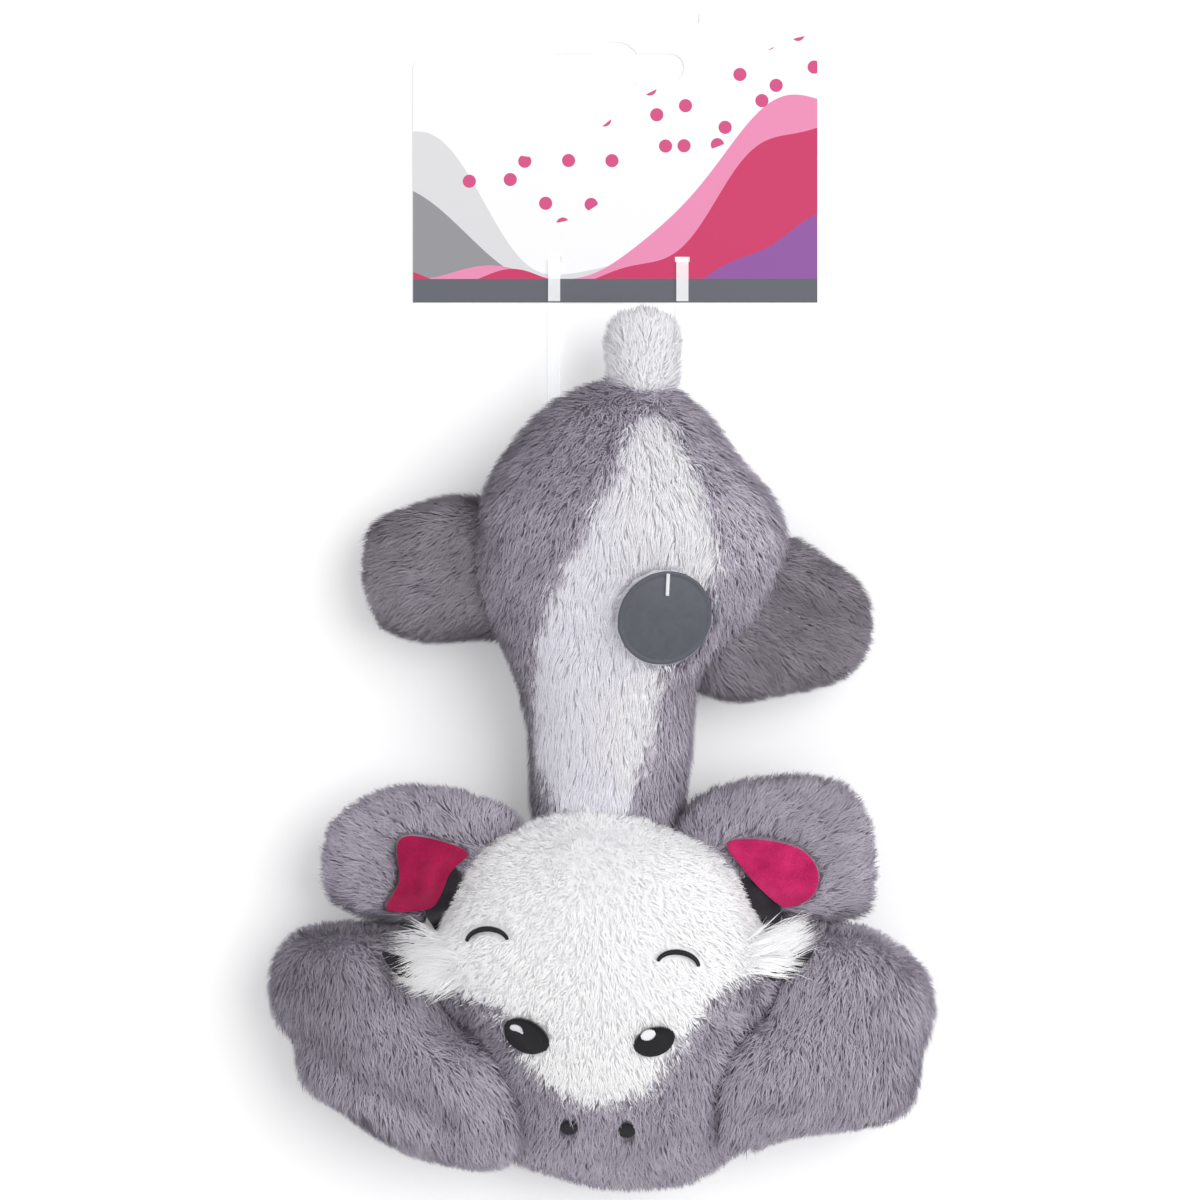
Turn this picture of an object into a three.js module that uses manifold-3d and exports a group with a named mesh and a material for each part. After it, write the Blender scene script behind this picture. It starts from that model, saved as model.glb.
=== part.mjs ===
// Plush dog toy lying on its belly, strapped to the header card that it is sold on.
// Millimetres, +Z up, nose towards -Y, tail and card towards +Y.
import * as THREE from "three";
import { mergeVertices } from "three/addons/utils/BufferGeometryUtils.js";
import Module from "manifold-3d";

const wasm = await Module();
wasm.setup();

// Clearances, walls and cuts
const gap = 0.3;
const plushWall = 2.6;
const feltWall = 1.2;
const stitchWall = 1;
const floorCut = 0.5;
const overrun = 30;

// Torso, measured from the rump at Y = 0 to the neck end under the head
const torsoLength = 115.4;
const torsoWidth = 71.5;
const torsoHeight = 48;
const torsoSeamHeight = 15;

// Head, lying over the neck end of the torso
const headLength = 87.5;
const headWidth = 88;
const headHeight = 55;
const headSeamHeight = 20;
const headOverNeck = 18.5;
const muzzleLength = 20.5;

// Ears
const leftEarLength = 43.5;
const leftEarWidth = 34;
const rightEarLength = 42;
const rightEarWidth = 36;
const earThickness = 20;
const earLift = 9;

// Front paws: an arm that reaches out from the cheek, and a hand folded back towards the nose
const armLength = 49;
const leftArmWidth = 34;
const rightArmWidth = 36;
const armHeight = 40;
const handLength = 59.5;
const leftHandWidth = 32;
const rightHandWidth = 34;
const handHeight = 44;
const pawSeamHeight = 17;

// Hind legs
const legLength = 42.5;
const legWidth = 31;
const legHeight = 28;
const legSeamHeight = 12;

// Tail
const tailLength = 23;
const tailWidth = 18;
const tailThickness = 18;
const tailLift = 9;
const tailInRump = 5;

// Squeaker and press badge
const bulbRadius = 12;
const bulbHeight = 20;
const bulbWall = 1;
const bulbLift = 12;
const neckRadius = 4.5;
const neckLength = 3.6;
const reedBoreRadius = 1.2;
const reedFlange = 1;
const badgeRadius = 11;
const badgeThickness = 0.8;
const badgeLift = 0.5;
const tagPinRadius = 0.4;
const tagPinLength = 5;

// Embroidery and felt on the face
const eyeLength = 10.5;
const eyeWidth = 7.3;
const glintLength = 3.2;
const glintWidth = 2.4;
const browLength = 9.6;
const browRise = 3.6;
const browThread = 1.3;
const nostrilRadius = 1.9;
const cheekTabLength = 10;
const cheekTabWidth = 6;

// Header card and its straps
const cardWidth = 93.7;
const cardHeight = 67;
const cardThickness = 0.6;
const cardCentreX = 3.5;
const cardToTail = 0.6;
const cardTabWidth = 27.4;
const cardTabStep = 2.3;
const cardShoulderDrop = 12.6;
const slotLength = 32;
const slotWidth = 6.4;
const slotEyeRadius = 6;
const slotFromTop = 12.6;
const strapWidth = 2.8;
const strapThickness = 0.4;
const strapSpacing = 29.7;
const strapCentreX = 4.2;
const strapOnCard = 10;
const strapBreak = 0.5;
const strapUnderRump = 19;
const strapTabHeight = 12;
const slitWidth = 1.2;

// Joint ranges in degrees, and the travel of the badge
const neckLiftRange = 20;
const earLiftRange = 35;
const pawSwingRange = 20;
const legSwingRange = 15;
const tailSwingRange = 20;
const pressTravel = 4;

// Each row of a form is [aside, half width, underside, top], at even steps from its start to its end,
// as shares of the form's width and height. Aside is to the right of the heading.
const torsoShares = [
  [0.027, 0.353, 0.04, 0.54],
  [0.027, 0.313, 0, 0.583],
  [0.022, 0.269, 0, 0.67],
  [0.018, 0.281, 0, 0.81],
  [0.048, 0.394, 0, 0.92],
  [0.091, 0.488, 0, 0.98],
  [0.088, 0.489, 0, 1],
  [0.083, 0.409, 0, 0.875],
  [0.109, 0.408, 0.04, 0.71],
];
const headShares = [
  [0.091, 0.386, 0, 0.545],
  [0.08, 0.386, 0, 0.655],
  [0.057, 0.33, 0, 0.8],
  [0.034, 0.341, 0, 0.909],
  [0.017, 0.432, 0, 0.982],
  [0.006, 0.47, 0, 1],
  [0, 0.395, 0, 0.982],
  [0, 0.386, 0.145, 0.909],
  [-0.034, 0.318, 0.29, 0.727],
];
const earShares = [
  [0, 0.32, 0.15, 1],
  [0, 0.41, 0.05, 1],
  [0, 0.5, 0, 1],
  [0, 0.5, 0, 0.95],
  [0, 0.44, 0.1, 0.8],
];
const armShares = [
  [0, 0.4, 0, 0.9],
  [0, 0.48, 0, 0.95],
  [0, 0.5, 0, 0.95],
  [0, 0.5, 0, 0.9],
  [0, 0.48, 0, 0.75],
];
const handShares = [
  [0, 0.5, 0, 0.8],
  [0, 0.5, 0, 0.9],
  [0, 0.5, 0, 0.97],
  [0, 0.5, 0, 1],
  [0, 0.47, 0, 1],
];
const legShares = [
  [0, 0.42, 0, 1],
  [0, 0.48, 0, 1],
  [0, 0.5, 0, 1],
  [0, 0.5, 0, 0.98],
  [0, 0.52, 0.02, 0.85],
];
const tailShares = [
  [0, 0.3, 0.2, 0.8],
  [0, 0.42, 0.08, 0.92],
  [0, 0.5, 0, 1],
  [0, 0.5, 0, 1],
  [0, 0.5, 0, 1],
];

// Edges of the back stripe, from the neck to the rump: [along the torso, left edge, right edge]
const stripeShares = [
  [0.05, -0.14, 0.126],
  [0.208, -0.159, 0.127],
  [0.366, -0.224, 0.176],
  [0.564, -0.176, 0.32],
  [0.643, -0.127, 0.383],
  [0.8, 0, 0.36],
  [0.91, 0.08, 0.3],
];

// Outlines of the ear felts, as shares of the head's width and length from the nose end's midline
const leftLiningShares = [
  [-0.52, 0.905],
  [-0.455, 0.915],
  [-0.345, 0.88],
  [-0.39, 0.822],
  [-0.424, 0.748],
  [-0.467, 0.728],
  [-0.553, 0.733],
  [-0.52, 0.8],
];
const leftRootFeltShares = [
  [-0.385, 0.822],
  [-0.368, 0.665],
  [-0.445, 0.74],
];
const rightLiningShares = [
  [0.33, 0.9],
  [0.416, 0.908],
  [0.52, 0.885],
  [0.564, 0.827],
  [0.55, 0.767],
  [0.494, 0.736],
  [0.455, 0.749],
  [0.377, 0.827],
];
const rightRootFeltShares = [
  [0.37, 0.793],
  [0.345, 0.67],
  [0.364, 0.657],
  [0.455, 0.717],
  [0.442, 0.749],
];

function makeMaterial(color, roughness) {
  return new THREE.MeshStandardMaterial({ color, roughness, metalness: 0 });
}

const greyPlush = makeMaterial(0x9a94a0, 0.95);
const whitePlush = makeMaterial(0xf2f3f8, 0.95);
const paleTailPlush = makeMaterial(0xe2e0ea, 0.95);
const fibreFill = makeMaterial(0xf6f4ee, 1);
const pinkFelt = makeMaterial(0xc61a63, 0.9);
const blackFelt = makeMaterial(0x231f24, 0.9);
const blackThread = makeMaterial(0x15131c, 0.6);
const whiteThread = makeMaterial(0xf7f7f7, 0.6);
const badgePlastic = makeMaterial(0x4c5059, 0.5);
const clearPlastic = makeMaterial(0xe9eef2, 0.2);
const squeakerPlastic = makeMaterial(0xe8e4da, 0.5);
const printedCard = makeMaterial(0xf4f4f6, 0.7);

const toy = new THREE.Group();

function toSolid(geometry) {
  const bare = geometry.clone();
  bare.deleteAttribute("normal");
  bare.deleteAttribute("uv");
  const merged = mergeVertices(bare);
  const vertProperties = new Float32Array(merged.attributes.position.array);
  const triVerts = new Uint32Array(merged.index.array);
  return new wasm.Manifold(new wasm.Mesh({ numProp: 3, vertProperties, triVerts }));
}

// Trimming can leave crumbs beside a piece, so only its largest body is kept
function mainBody(solid) {
  const bodies = solid.decompose();
  return bodies.reduce((most, body) => (body.volume() > most.volume() ? body : most));
}

function addPiece(name, solid, material) {
  const mesh = mainBody(solid).getMesh();
  const geometry = new THREE.BufferGeometry();
  geometry.setAttribute("position", new THREE.BufferAttribute(mesh.vertProperties, mesh.numProp));
  geometry.setIndex(new THREE.BufferAttribute(mesh.triVerts, 1));
  geometry.computeVertexNormals();
  const piece = new THREE.Mesh(geometry, material);
  piece.name = name;
  toy.add(piece);
}

function cut(solid, cutters) {
  return cutters.reduce((left, cutter) => left.subtract(cutter), solid);
}

function radians(degrees) {
  return THREE.MathUtils.degToRad(degrees);
}

// A turn by some degrees about an axis through a point
function turnAbout(point, axis, degrees) {
  const move = new THREE.Matrix4().makeTranslation(point.x, point.y, point.z);
  const turn = new THREE.Matrix4().makeRotationAxis(axis, radians(degrees));
  const back = new THREE.Matrix4().makeTranslation(-point.x, -point.y, -point.z);
  return move.multiply(turn).multiply(back);
}

function boxSolid(low, high) {
  const size = high.clone().sub(low);
  const geometry = new THREE.BoxGeometry(size.x, size.y, size.z);
  geometry.translate((low.x + high.x) / 2, (low.y + high.y) / 2, (low.z + high.z) / 2);
  return toSolid(geometry);
}

// Steps round a curved outline, a round disc and a slim pin
const arcSteps = 7;
const discSteps = 40;
const pinSteps = 10;

function prismSolid(shape, low, high) {
  const geometry = new THREE.ExtrudeGeometry(shape, {
    depth: high - low,
    bevelEnabled: false,
    curveSegments: arcSteps,
  });
  geometry.translate(0, 0, low);
  return toSolid(geometry);
}

function discSolid(centre, radius, low, high) {
  const shape = new THREE.Shape();
  shape.absarc(centre.x, centre.y, radius, 0, 2 * Math.PI);
  return prismSolid(shape, low, high);
}

// A section is a superellipse of this power, a little squarer than an ellipse
const sectionPower = 2.5;

function superSwell(x, z) {
  const sum = Math.abs(x) ** sectionPower + Math.abs(z) ** sectionPower;
  return sum === 0 ? 1 : sum ** (-1 / sectionPower);
}

// A plump form is a unit sphere drawn out along its heading, with the widths and heights of its
// rows and round ends. Growing it moves its whole skin outwards.
function plumpGeometry(form, grow, detail) {
  const flanks = new THREE.SplineCurve(form.shares.map(([aside, half]) => new THREE.Vector2(aside, half)));
  const levels = new THREE.SplineCurve(form.shares.map(([, , low, high]) => new THREE.Vector2(low, high)));
  const ahead = new THREE.Vector3(Math.cos(form.heading), Math.sin(form.heading), 0);
  const right = new THREE.Vector3(Math.sin(form.heading), -Math.cos(form.heading), 0);
  const geometry = new THREE.SphereGeometry(1, form.sides * detail, form.rings * detail);
  const points = geometry.attributes.position;
  for (let i = 0; i < points.count; i += 1) {
    const along = THREE.MathUtils.clamp(points.getY(i), -1, 1);
    const share = (along + 1) / 2;
    const roundness = Math.sqrt(1 - along ** 4);
    const girth = Math.sqrt(1 - along ** 2) || 1;
    const side = flanks.getPoint(share);
    const level = levels.getPoint(share);
    const halfWidth = side.y * form.width * roundness;
    const halfHeight = ((level.y - level.x) / 2) * form.height * roundness;
    const turnX = points.getX(i) / girth;
    const turnZ = points.getZ(i) / girth;
    const swell = superSwell(turnX, turnZ);
    const sideways = turnX * (halfWidth * swell + girth * grow);
    const upwards = turnZ * (halfHeight * swell + girth * grow);
    const place = form.start.clone();
    place.addScaledVector(ahead, share * form.length + along * grow);
    place.addScaledVector(right, side.x * form.width + sideways);
    place.z += ((level.x + level.y) / 2) * form.height + upwards;
    points.setXYZ(i, place.x, place.y, place.z);
  }
  return geometry;
}

const fine = 1;
const coarse = 0.5;

// The union of a limb's forms, grown and turned
function limbSolid(forms, grow, detail, move) {
  const solids = forms.map((form) => toSolid(plumpGeometry(form, grow, detail).applyMatrix4(move)));
  return solids.reduce((whole, solid) => whole.add(solid));
}

const still = new THREE.Matrix4();

// What a larger limb takes away from a smaller one in each of the joint's positions
function sweptCutters(hinderers, grow, detail) {
  return hinderers.flatMap(({ forms, moves }) => moves.map((move) => limbSolid(forms, grow, detail, move)));
}

function turnsThrough(point, axis, degrees) {
  return degrees.map((angle) => turnAbout(point, axis, angle));
}

// The plush skin of a stuffed limb and the loose filling inside it
function stuffedLimb(forms, hinderers) {
  const inner = plushWall + gap;
  const outside = cut(limbSolid(forms, 0, fine, still), sweptCutters(hinderers, gap, fine));
  const cavityCutters = sweptCutters(hinderers, gap + plushWall, fine);
  const cavity = cut(limbSolid(forms, -plushWall, coarse, still), cavityCutters);
  const fillCutters = sweptCutters(hinderers, gap + inner, fine);
  const filling = cut(limbSolid(forms, -inner, coarse, still), fillCutters);
  return { skin: outside.subtract(cavity).subtract(slabSolid(-overrun, 0)), filling: mainBody(filling) };
}

// A level slab that is wider than the whole toy
function slabSolid(low, high) {
  const reach = (torsoLength + headLength) * 2;
  return boxSolid(new THREE.Vector3(-reach, -reach, low), new THREE.Vector3(reach, reach, high));
}

function aboveSeam(solid, height) {
  return solid.intersect(slabSolid(height + gap / 2, height + torsoLength));
}

function belowSeam(solid, height) {
  return solid.intersect(slabSolid(-torsoLength, height - gap / 2));
}

// Places on the head: x as a share of its width from the midline, y as a share of its length from the nose
const neckEndY = -torsoLength;
const headRearY = neckEndY + headOverNeck;
const noseY = headRearY - headLength;

function onHead(xShare, yShare, z) {
  return new THREE.Vector3(xShare * headWidth, noseY + yShare * headLength, z);
}

function onTorso(xShare, yShare, z) {
  return new THREE.Vector3(xShare * torsoWidth, neckEndY + yShare * torsoLength, z);
}

// The forms
const torsoForm = {
  start: new THREE.Vector3(0, neckEndY, -floorCut),
  heading: radians(90),
  length: torsoLength,
  width: torsoWidth,
  height: torsoHeight,
  shares: torsoShares,
  sides: 20,
  rings: 16,
};
const headForm = {
  start: new THREE.Vector3(0, noseY, -floorCut),
  heading: radians(90),
  length: headLength,
  width: headWidth,
  height: headHeight,
  shares: headShares,
  sides: 20,
  rings: 14,
};
const earForms = {
  left: {
    start: onHead(-0.25, 0.926, earLift),
    heading: radians(190.5),
    length: leftEarLength,
    width: leftEarWidth,
    height: earThickness,
    shares: earShares,
    sides: 12,
    rings: 8,
  },
  right: {
    start: onHead(0.25, 0.937, earLift),
    heading: radians(-9.6),
    length: rightEarLength,
    width: rightEarWidth,
    height: earThickness,
    shares: earShares,
    sides: 12,
    rings: 8,
  },
};

function armForm(xShare, yShare, heading, width) {
  return {
    start: onHead(xShare, yShare, -floorCut),
    heading: radians(heading),
    length: armLength,
    width,
    height: armHeight,
    shares: armShares,
    sides: 14,
    rings: 8,
  };
}

// The hand starts back inside the arm's outer end
function handForm(arm, foldX, foldY, heading, width) {
  const reach = new THREE.Vector3(Math.cos(arm.heading), Math.sin(arm.heading), 0);
  const start = arm.start.clone().addScaledVector(reach, armLength - foldX * width);
  start.y -= foldY * width;
  return {
    start,
    heading: radians(heading),
    length: handLength,
    width,
    height: handHeight,
    shares: handShares,
    sides: 14,
    rings: 10,
  };
}

const leftArm = armForm(-0.318, 0.491, 177.7, leftArmWidth);
const rightArm = armForm(0.318, 0.514, -3.5, rightArmWidth);
const pawForms = {
  left: [leftArm, handForm(leftArm, 0.15, 0.35, -14.7, leftHandWidth)],
  right: [rightArm, handForm(rightArm, 0.12, 0.34, 185.7, rightHandWidth)],
};

function legForm(xShare, yShare, heading) {
  return {
    start: onTorso(xShare, yShare, -floorCut),
    heading: radians(heading),
    length: legLength,
    width: legWidth,
    height: legHeight,
    shares: legShares,
    sides: 14,
    rings: 8,
  };
}

const legForms = {
  left: legForm(-0.18, 0.612, 179.5),
  right: legForm(0.28, 0.537, -7.4),
};
const tailForm = {
  start: onTorso(0.137, 1, tailLift).add(new THREE.Vector3(0, -tailInRump, 0)),
  heading: radians(90),
  length: tailLength,
  width: tailWidth,
  height: tailThickness,
  shares: tailShares,
  sides: 12,
  rings: 8,
};

// The hinges
const upright = new THREE.Vector3(0, 0, 1);
const neckHingeShare = 0.56;
const neckHinge = {
  point: new THREE.Vector3(0, headRearY, torsoHeight * neckHingeShare),
  axis: new THREE.Vector3(-1, 0, 0),
};
const earHinges = {
  left: { point: onHead(-0.352, 0.846, earLift + earThickness), axis: new THREE.Vector3(0.58, 0.815, 0) },
  right: { point: onHead(0.352, 0.846, earLift + earThickness), axis: new THREE.Vector3(0.58, -0.815, 0) },
};
const pawHinges = {
  left: { point: onHead(-0.49, 0.606, 0), axis: upright.clone().negate() },
  right: { point: onHead(0.49, 0.606, 0), axis: upright.clone() },
};
const legHinges = {
  left: { point: onTorso(-0.38, 0.607, 0), axis: upright.clone().negate() },
  right: { point: onTorso(0.5, 0.52, 0), axis: upright.clone() },
};
const tailHinge = { point: onTorso(0.137, 1, 0), axis: upright.clone() };

for (const hinge of Object.values(earHinges)) {
  hinge.axis.normalize();
}

// Squeaker: a hollow bulb with a neck at its foot and a reed insert in the neck
const badgeCentre = onTorso(0.204, 0.529, 0);
const bulbCentre = new THREE.Vector3(badgeCentre.x, badgeCentre.y, bulbLift + bulbHeight / 2);
const neckBoreRadius = neckRadius - bulbWall;
const bulbTurns = 14;
const bulbSteps = 6;

// Points of an ellipse from the axis at its top round to a given radius near its foot
function ellipseToNeck(radius, halfHeight, endRadius) {
  const endAngle = -Math.acos(endRadius / radius);
  const points = [];
  for (let i = 0; i <= bulbSteps; i += 1) {
    const angle = THREE.MathUtils.lerp(Math.PI / 2, endAngle, i / bulbSteps);
    const away = i === 0 ? 0 : radius * Math.cos(angle);
    points.push(new THREE.Vector2(away, halfHeight * Math.sin(angle)));
  }
  return points;
}

function turned(points, centre) {
  const geometry = new THREE.LatheGeometry(points, bulbTurns);
  geometry.rotateX(Math.PI / 2);
  geometry.translate(centre.x, centre.y, centre.z);
  return toSolid(geometry);
}

function makeBulb() {
  const neckEnd = -bulbHeight / 2 - neckLength;
  const outer = ellipseToNeck(bulbRadius, bulbHeight / 2, neckRadius);
  const inner = ellipseToNeck(bulbRadius - bulbWall, bulbHeight / 2 - bulbWall, neckBoreRadius);
  const neck = [new THREE.Vector2(neckRadius, neckEnd), new THREE.Vector2(neckBoreRadius, neckEnd)];
  return turned([...outer, ...neck, ...inner.reverse()].reverse(), bulbCentre);
}

function makeReed() {
  const foot = -bulbHeight / 2 - neckLength - gap - reedFlange;
  const flangeTop = foot + reedFlange;
  const tubeRadius = neckBoreRadius - gap;
  const tubeTop = -bulbHeight / 2 + neckLength / 2;
  const points = [
    new THREE.Vector2(reedBoreRadius, foot),
    new THREE.Vector2(neckRadius, foot),
    new THREE.Vector2(neckRadius, flangeTop),
    new THREE.Vector2(tubeRadius, flangeTop),
    new THREE.Vector2(tubeRadius, tubeTop),
    new THREE.Vector2(reedBoreRadius, tubeTop),
    new THREE.Vector2(reedBoreRadius, foot),
  ];
  return turned(points, bulbCentre);
}

// The room that the squeaker takes in the filling, with the bore that the badge is pressed down.
// Its facets lie outside the true round by a share that their number sets.
const roomSides = 16;
const roomRings = 12;

function squeakerRoom() {
  const round = 1 / Math.cos(Math.PI / roomRings);
  const ball = new THREE.SphereGeometry(1, roomSides, roomRings);
  ball.rotateX(Math.PI / 2);
  ball.scale((bulbRadius + gap) * round, (bulbRadius + gap) * round, (bulbHeight / 2 + gap) * round);
  ball.translate(bulbCentre.x, bulbCentre.y, bulbCentre.z);
  const reedFoot = bulbLift - neckLength - gap - reedFlange;
  const shaft = discSolid(badgeCentre, (neckRadius + gap) * round, reedFoot - gap, bulbCentre.z);
  return toSolid(ball).add(shaft).add(pressBore());
}

// The bore starts as far below the bulb's top as the badge travels
const pressFloor = bulbLift + bulbHeight - pressTravel - gap;

function pressBore() {
  return discSolid(badgeCentre, badgeRadius + gap, pressFloor, torsoHeight + overrun);
}

// Torso
function stripeOutline(grow) {
  const left = stripeShares.map(([along, edge]) => onTorso(edge, along, 0));
  const right = stripeShares.map(([along, , edge]) => onTorso(edge, along, 0));
  const shape = new THREE.Shape();
  shape.moveTo(left[0].x - grow, left[0].y - grow);
  shape.lineTo(right[0].x + grow, right[0].y - grow);
  shape.splineThru(right.slice(1).map((spot) => new THREE.Vector2(spot.x + grow, spot.y + grow)));
  const top = left[left.length - 1];
  shape.lineTo(top.x - grow, top.y + grow);
  const wayBack = left.slice(0, -1).reverse();
  shape.splineThru(wayBack.map((spot) => new THREE.Vector2(spot.x - grow, spot.y - grow)));
  return shape;
}

function makeTorso() {
  const { skin, filling } = stuffedLimb([torsoForm], []);
  const back = aboveSeam(skin, torsoSeamHeight);
  const stripePrism = prismSolid(stripeOutline(0), torsoSeamHeight, torsoHeight + overrun);
  const stripeOpening = prismSolid(stripeOutline(gap), torsoSeamHeight, torsoHeight + overrun);
  const bore = pressBore();
  addPiece("torso_back_panel", back.subtract(stripeOpening).subtract(bore), greyPlush);
  addPiece("back_stripe_panel", back.intersect(stripePrism).subtract(bore), whitePlush);
  addPiece("torso_belly_panel", belowSeam(skin, torsoSeamHeight), greyPlush);
  addPiece("torso_stuffing", filling.subtract(squeakerRoom()), fibreFill);
  addPiece("squeaker_bulb", makeBulb(), squeakerPlastic);
  addPiece("squeaker_reed", makeReed(), squeakerPlastic);
  const patch = discSolid(badgeCentre, badgeRadius, pressFloor, torsoHeight + overrun);
  addPiece("press_patch", back.intersect(patch), whitePlush);
}

// The badge lies on the slope of the back, so the slope under its middle sets its tilt
function makeBadge() {
  const back = new THREE.Mesh(plumpGeometry(torsoForm, 0, fine), whitePlush);
  const above = badgeCentre.clone().setZ(torsoHeight + overrun);
  const [hit] = new THREE.Raycaster(above, upright.clone().negate()).intersectObject(back);
  const tilt = new THREE.Quaternion().setFromUnitVectors(upright, hit.face.normal);
  const lift = (gap + badgeLift + badgeThickness / 2) / hit.face.normal.z;
  const middle = hit.point.clone().addScaledVector(upright, lift);
  const seat = new THREE.Matrix4().makeRotationFromQuaternion(tilt).setPosition(middle);
  const disc = new THREE.CylinderGeometry(badgeRadius, badgeRadius, badgeThickness, discSteps);
  disc.rotateX(Math.PI / 2);
  addPiece("press_badge", toSolid(disc.applyMatrix4(seat)), badgePlastic);
  const pin = new THREE.CylinderGeometry(tagPinRadius, tagPinRadius, tagPinLength, pinSteps);
  pin.translate(0, badgeRadius - tagPinLength / 2 - gap, badgeThickness / 2 + tagPinRadius + gap);
  addPiece("badge_tag_pin", toSolid(pin.applyMatrix4(seat)), clearPlastic);
}

// A thin piece that lies on a form's upper side and follows it
function surfacePatch(form, shape, lift, wall) {
  const outer = toSolid(plumpGeometry(form, lift + wall, fine));
  const layer = outer.subtract(toSolid(plumpGeometry(form, lift, fine)));
  const middle = form.start.z + form.height / 2;
  return layer.intersect(prismSolid(shape, middle, middle + form.height + overrun));
}

function closedShape(shares) {
  const corners = shares.map(([x, y]) => onHead(x, y, 0));
  return new THREE.Shape(corners.map((corner) => new THREE.Vector2(corner.x, corner.y)));
}

function ovalShape(centre, length, width, angle) {
  const shape = new THREE.Shape();
  shape.absellipse(centre.x, centre.y, length / 2, width / 2, 0, 2 * Math.PI, false, radians(angle));
  return shape;
}

function browShape(centre, angle) {
  const shape = new THREE.Shape();
  const turn = radians(angle);
  shape.absellipse(centre.x, centre.y, browLength / 2, browRise, 0, Math.PI, false, turn);
  const inner = browLength / 2 - browThread;
  shape.absellipse(centre.x, centre.y, inner, browRise - browThread, Math.PI, 0, true, turn);
  return shape;
}

function makeHead() {
  const torsoTurns = turnsThrough(neckHinge.point, neckHinge.axis, [0, -neckLiftRange / 2, -neckLiftRange]);
  const { skin, filling } = stuffedLimb([headForm], [{ forms: [torsoForm], moves: torsoTurns }]);
  const upper = aboveSeam(skin, headSeamHeight);
  const muzzleEdgeY = noseY + muzzleLength;
  const farAhead = new THREE.Vector3(-headWidth, noseY - overrun, -overrun);
  const muzzleBox = boxSolid(farAhead, new THREE.Vector3(headWidth, muzzleEdgeY - gap, headHeight + overrun));
  const muzzleRoom = boxSolid(farAhead, new THREE.Vector3(headWidth, muzzleEdgeY, headHeight + overrun));
  addPiece("head_face_panel", upper.subtract(muzzleRoom), whitePlush);
  addPiece("muzzle_panel", upper.intersect(muzzleBox), greyPlush);
  addPiece("head_under_panel", belowSeam(skin, headSeamHeight), greyPlush);
  addPiece("head_stuffing", filling, fibreFill);
}

const faceSpots = {
  left: {
    eye: onHead(-0.192, 0.399, 0),
    eyeAngle: -30,
    glint: onHead(-0.218, 0.41, 0),
    brow: onHead(-0.291, 0.642, 0),
    browAngle: 8,
    nostril: onHead(-0.073, 0.158, 0),
    cheekTab: onHead(-0.465, 0.63, 0),
    cheekTabAngle: -50,
  },
  right: {
    eye: onHead(0.143, 0.375, 0),
    eyeAngle: 20,
    glint: onHead(0.13, 0.388, 0),
    brow: onHead(0.2, 0.582, 0),
    browAngle: -8,
    nostril: onHead(0.073, 0.145, 0),
    cheekTab: onHead(0.465, 0.62, 0),
    cheekTabAngle: 40,
  },
};

function makeFace(side) {
  const spots = faceSpots[side];
  const paw = limbSolid(pawForms[side], gap, fine, still);
  const eyeOutline = ovalShape(spots.eye, eyeLength, eyeWidth, spots.eyeAngle);
  const eye = surfacePatch(headForm, eyeOutline, gap, stitchWall);
  addPiece(`eye_${side}`, eye.subtract(paw), blackThread);
  const glintLift = gap + stitchWall + gap;
  const glintShape = ovalShape(spots.glint, glintLength, glintWidth, spots.eyeAngle);
  addPiece(`eye_highlight_${side}`, surfacePatch(headForm, glintShape, glintLift, stitchWall), whiteThread);
  const brow = surfacePatch(headForm, browShape(spots.brow, spots.browAngle), gap, stitchWall);
  addPiece(`brow_${side}`, brow, blackThread);
  const nostril = ovalShape(spots.nostril, nostrilRadius * 2, nostrilRadius * 2, 0);
  addPiece(`nostril_${side}`, surfacePatch(headForm, nostril, gap, stitchWall), blackThread);
  const tab = ovalShape(spots.cheekTab, cheekTabLength, cheekTabWidth, spots.cheekTabAngle);
  addPiece(`cheek_tab_${side}`, surfacePatch(headForm, tab, gap, feltWall).subtract(paw), blackFelt);
}

// Ears
function makeEar(side, liningShares, rootFeltShares) {
  const hinge = earHinges[side];
  const pawHinge = pawHinges[side];
  const hinderers = [
    {
      forms: [headForm],
      moves: turnsThrough(hinge.point, hinge.axis, [0, -earLiftRange / 2, -earLiftRange]),
    },
    {
      forms: pawForms[side],
      moves: turnsThrough(pawHinge.point, pawHinge.axis, [0, pawSwingRange]),
    },
  ];
  const { skin, filling } = stuffedLimb([earForms[side]], hinderers);
  const seam = earLift + earThickness / 2;
  addPiece(`ear_${side}_front_panel`, aboveSeam(skin, seam), greyPlush);
  addPiece(`ear_${side}_back_panel`, belowSeam(skin, seam), greyPlush);
  addPiece(`ear_${side}_stuffing`, filling, fibreFill);
  const cutters = sweptCutters(hinderers, gap, fine);
  const lining = surfacePatch(earForms[side], closedShape(liningShares), gap, feltWall);
  const rootShape = closedShape(rootFeltShares);
  const rootRoom = prismSolid(rootShape, 0, headHeight);
  addPiece(`ear_${side}_lining`, cut(lining.subtract(rootRoom), cutters), pinkFelt);
  const rootFelt = surfacePatch(earForms[side], rootShape, gap, feltWall);
  addPiece(`ear_${side}_root_felt`, cut(rootFelt, cutters), blackFelt);
}

// Front paws
function makePaw(side) {
  const hinge = pawHinges[side];
  const moves = turnsThrough(hinge.point, hinge.axis, [0, -pawSwingRange / 2, -pawSwingRange]);
  const { skin, filling } = stuffedLimb(pawForms[side], [{ forms: [headForm], moves }]);
  addPiece(`front_paw_${side}_upper_panel`, aboveSeam(skin, pawSeamHeight), greyPlush);
  addPiece(`front_paw_${side}_lower_panel`, belowSeam(skin, pawSeamHeight), greyPlush);
  addPiece(`front_paw_${side}_stuffing`, filling, fibreFill);
}

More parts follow.
